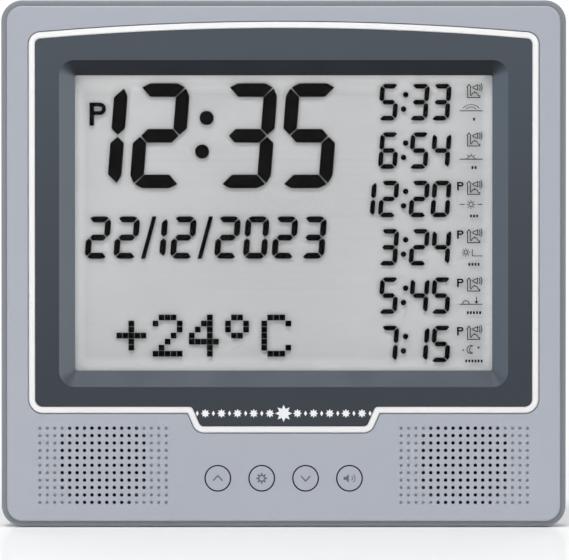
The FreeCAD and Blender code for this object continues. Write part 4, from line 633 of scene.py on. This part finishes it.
ROOM_STRENGTH = 0.34
world = bpy.data.worlds.new("studio")
world.use_nodes = True
scene.world = world
sky = world.node_tree
sky.nodes.clear()
room = add(sky, "ShaderNodeBackground")
room.inputs["Color"].default_value = (0.97, 0.98, 1.0, 1)
room.inputs["Strength"].default_value = ROOM_STRENGTH
plain = add(sky, "ShaderNodeBackground")
plain.inputs["Color"].default_value = (1, 1, 1, 1)
world_out = add(sky, "ShaderNodeOutputWorld")
sky.links.new(mixed(sky, background_rays(sky), room.outputs["Background"],
                    plain.outputs["Background"]), world_out.inputs["Surface"])

# A pale floor, which goes over into the white of the background with distance
FLOOR_REACH = 3.0
FLOOR_BACK = 1.2
FLOOR_DROP = 0.3 * MM
FADE_NEAR, FADE_FAR = 0.45, 1.5
POLISH = 0.12
floor_mesh = bpy.data.meshes.new("floor")
corners = [(-FLOOR_REACH, -FLOOR_REACH, 0), (FLOOR_REACH, -FLOOR_REACH, 0),
           (FLOOR_REACH, FLOOR_BACK, 0), (-FLOOR_REACH, FLOOR_BACK, 0)]
floor_mesh.from_pydata(corners, [], [[0, 1, 2, 3]])
floor = bpy.data.objects.new("floor", floor_mesh)
floor.location.z = -FLOOR_DROP
scene.collection.objects.link(floor)
floor_look, floor_tree = new_material("floor")
paper = add(floor_tree, "ShaderNodeBsdfDiffuse")
paper.inputs["Color"].default_value = (0.99, 0.99, 0.99, 1)
polish = add(floor_tree, "ShaderNodeBsdfGlossy")
polish.inputs["Roughness"].default_value = 0.09
polish.inputs["Color"].default_value = (1, 1, 1, 1)
near_floor = mixed(floor_tree, POLISH, paper.outputs["BSDF"], polish.outputs["BSDF"])
place = add(floor_tree, "ShaderNodeTexCoord")
away = add(floor_tree, "ShaderNodeVectorMath", operation="LENGTH")
floor_tree.links.new(place.outputs["Object"], away.inputs[0])
far = add(floor_tree, "ShaderNodeMapRange", interpolation_type="SMOOTHSTEP")
far.inputs["From Min"].default_value = FADE_NEAR
far.inputs["From Max"].default_value = FADE_FAR
floor_tree.links.new(away.outputs["Value"], far.inputs["Value"])
shown = add(floor_tree, "ShaderNodeMath", operation="MULTIPLY")
floor_tree.links.new(far.outputs["Result"], shown.inputs[0])
floor_tree.links.new(background_rays(floor_tree), shown.inputs[1])
glow = add(floor_tree, "ShaderNodeEmission")
show(floor_tree, mixed(floor_tree, shown.outputs["Value"], near_floor, glow.outputs["Emission"]))
floor_mesh.materials.append(floor_look)

# A camera that sees the photo's field from the front, a little raised
DISTANCE = 2.6
RAISED = math.radians(1.0)
SENSOR = 36
WIDTH = PHOTO_WIDTH * PIXEL * MM
camera_data = bpy.data.cameras.new("camera")
camera_data.sensor_width = SENSOR
camera_data.lens = SENSOR * DISTANCE / WIDTH
camera = bpy.data.objects.new("camera", camera_data)
camera.location = (CENTRE[0], CENTRE[1] - DISTANCE * math.cos(RAISED),
                   CENTRE[2] + DISTANCE * math.sin(RAISED))
camera.rotation_euler = (Vector(CENTRE) - camera.location).to_track_quat("-Z", "Y").to_euler()
scene.collection.objects.link(camera)
scene.camera = camera
scene.view_settings.view_transform = "Standard"
scene.cycles.transparent_max_bounces = 32     # the display lies behind a stack of clear panes
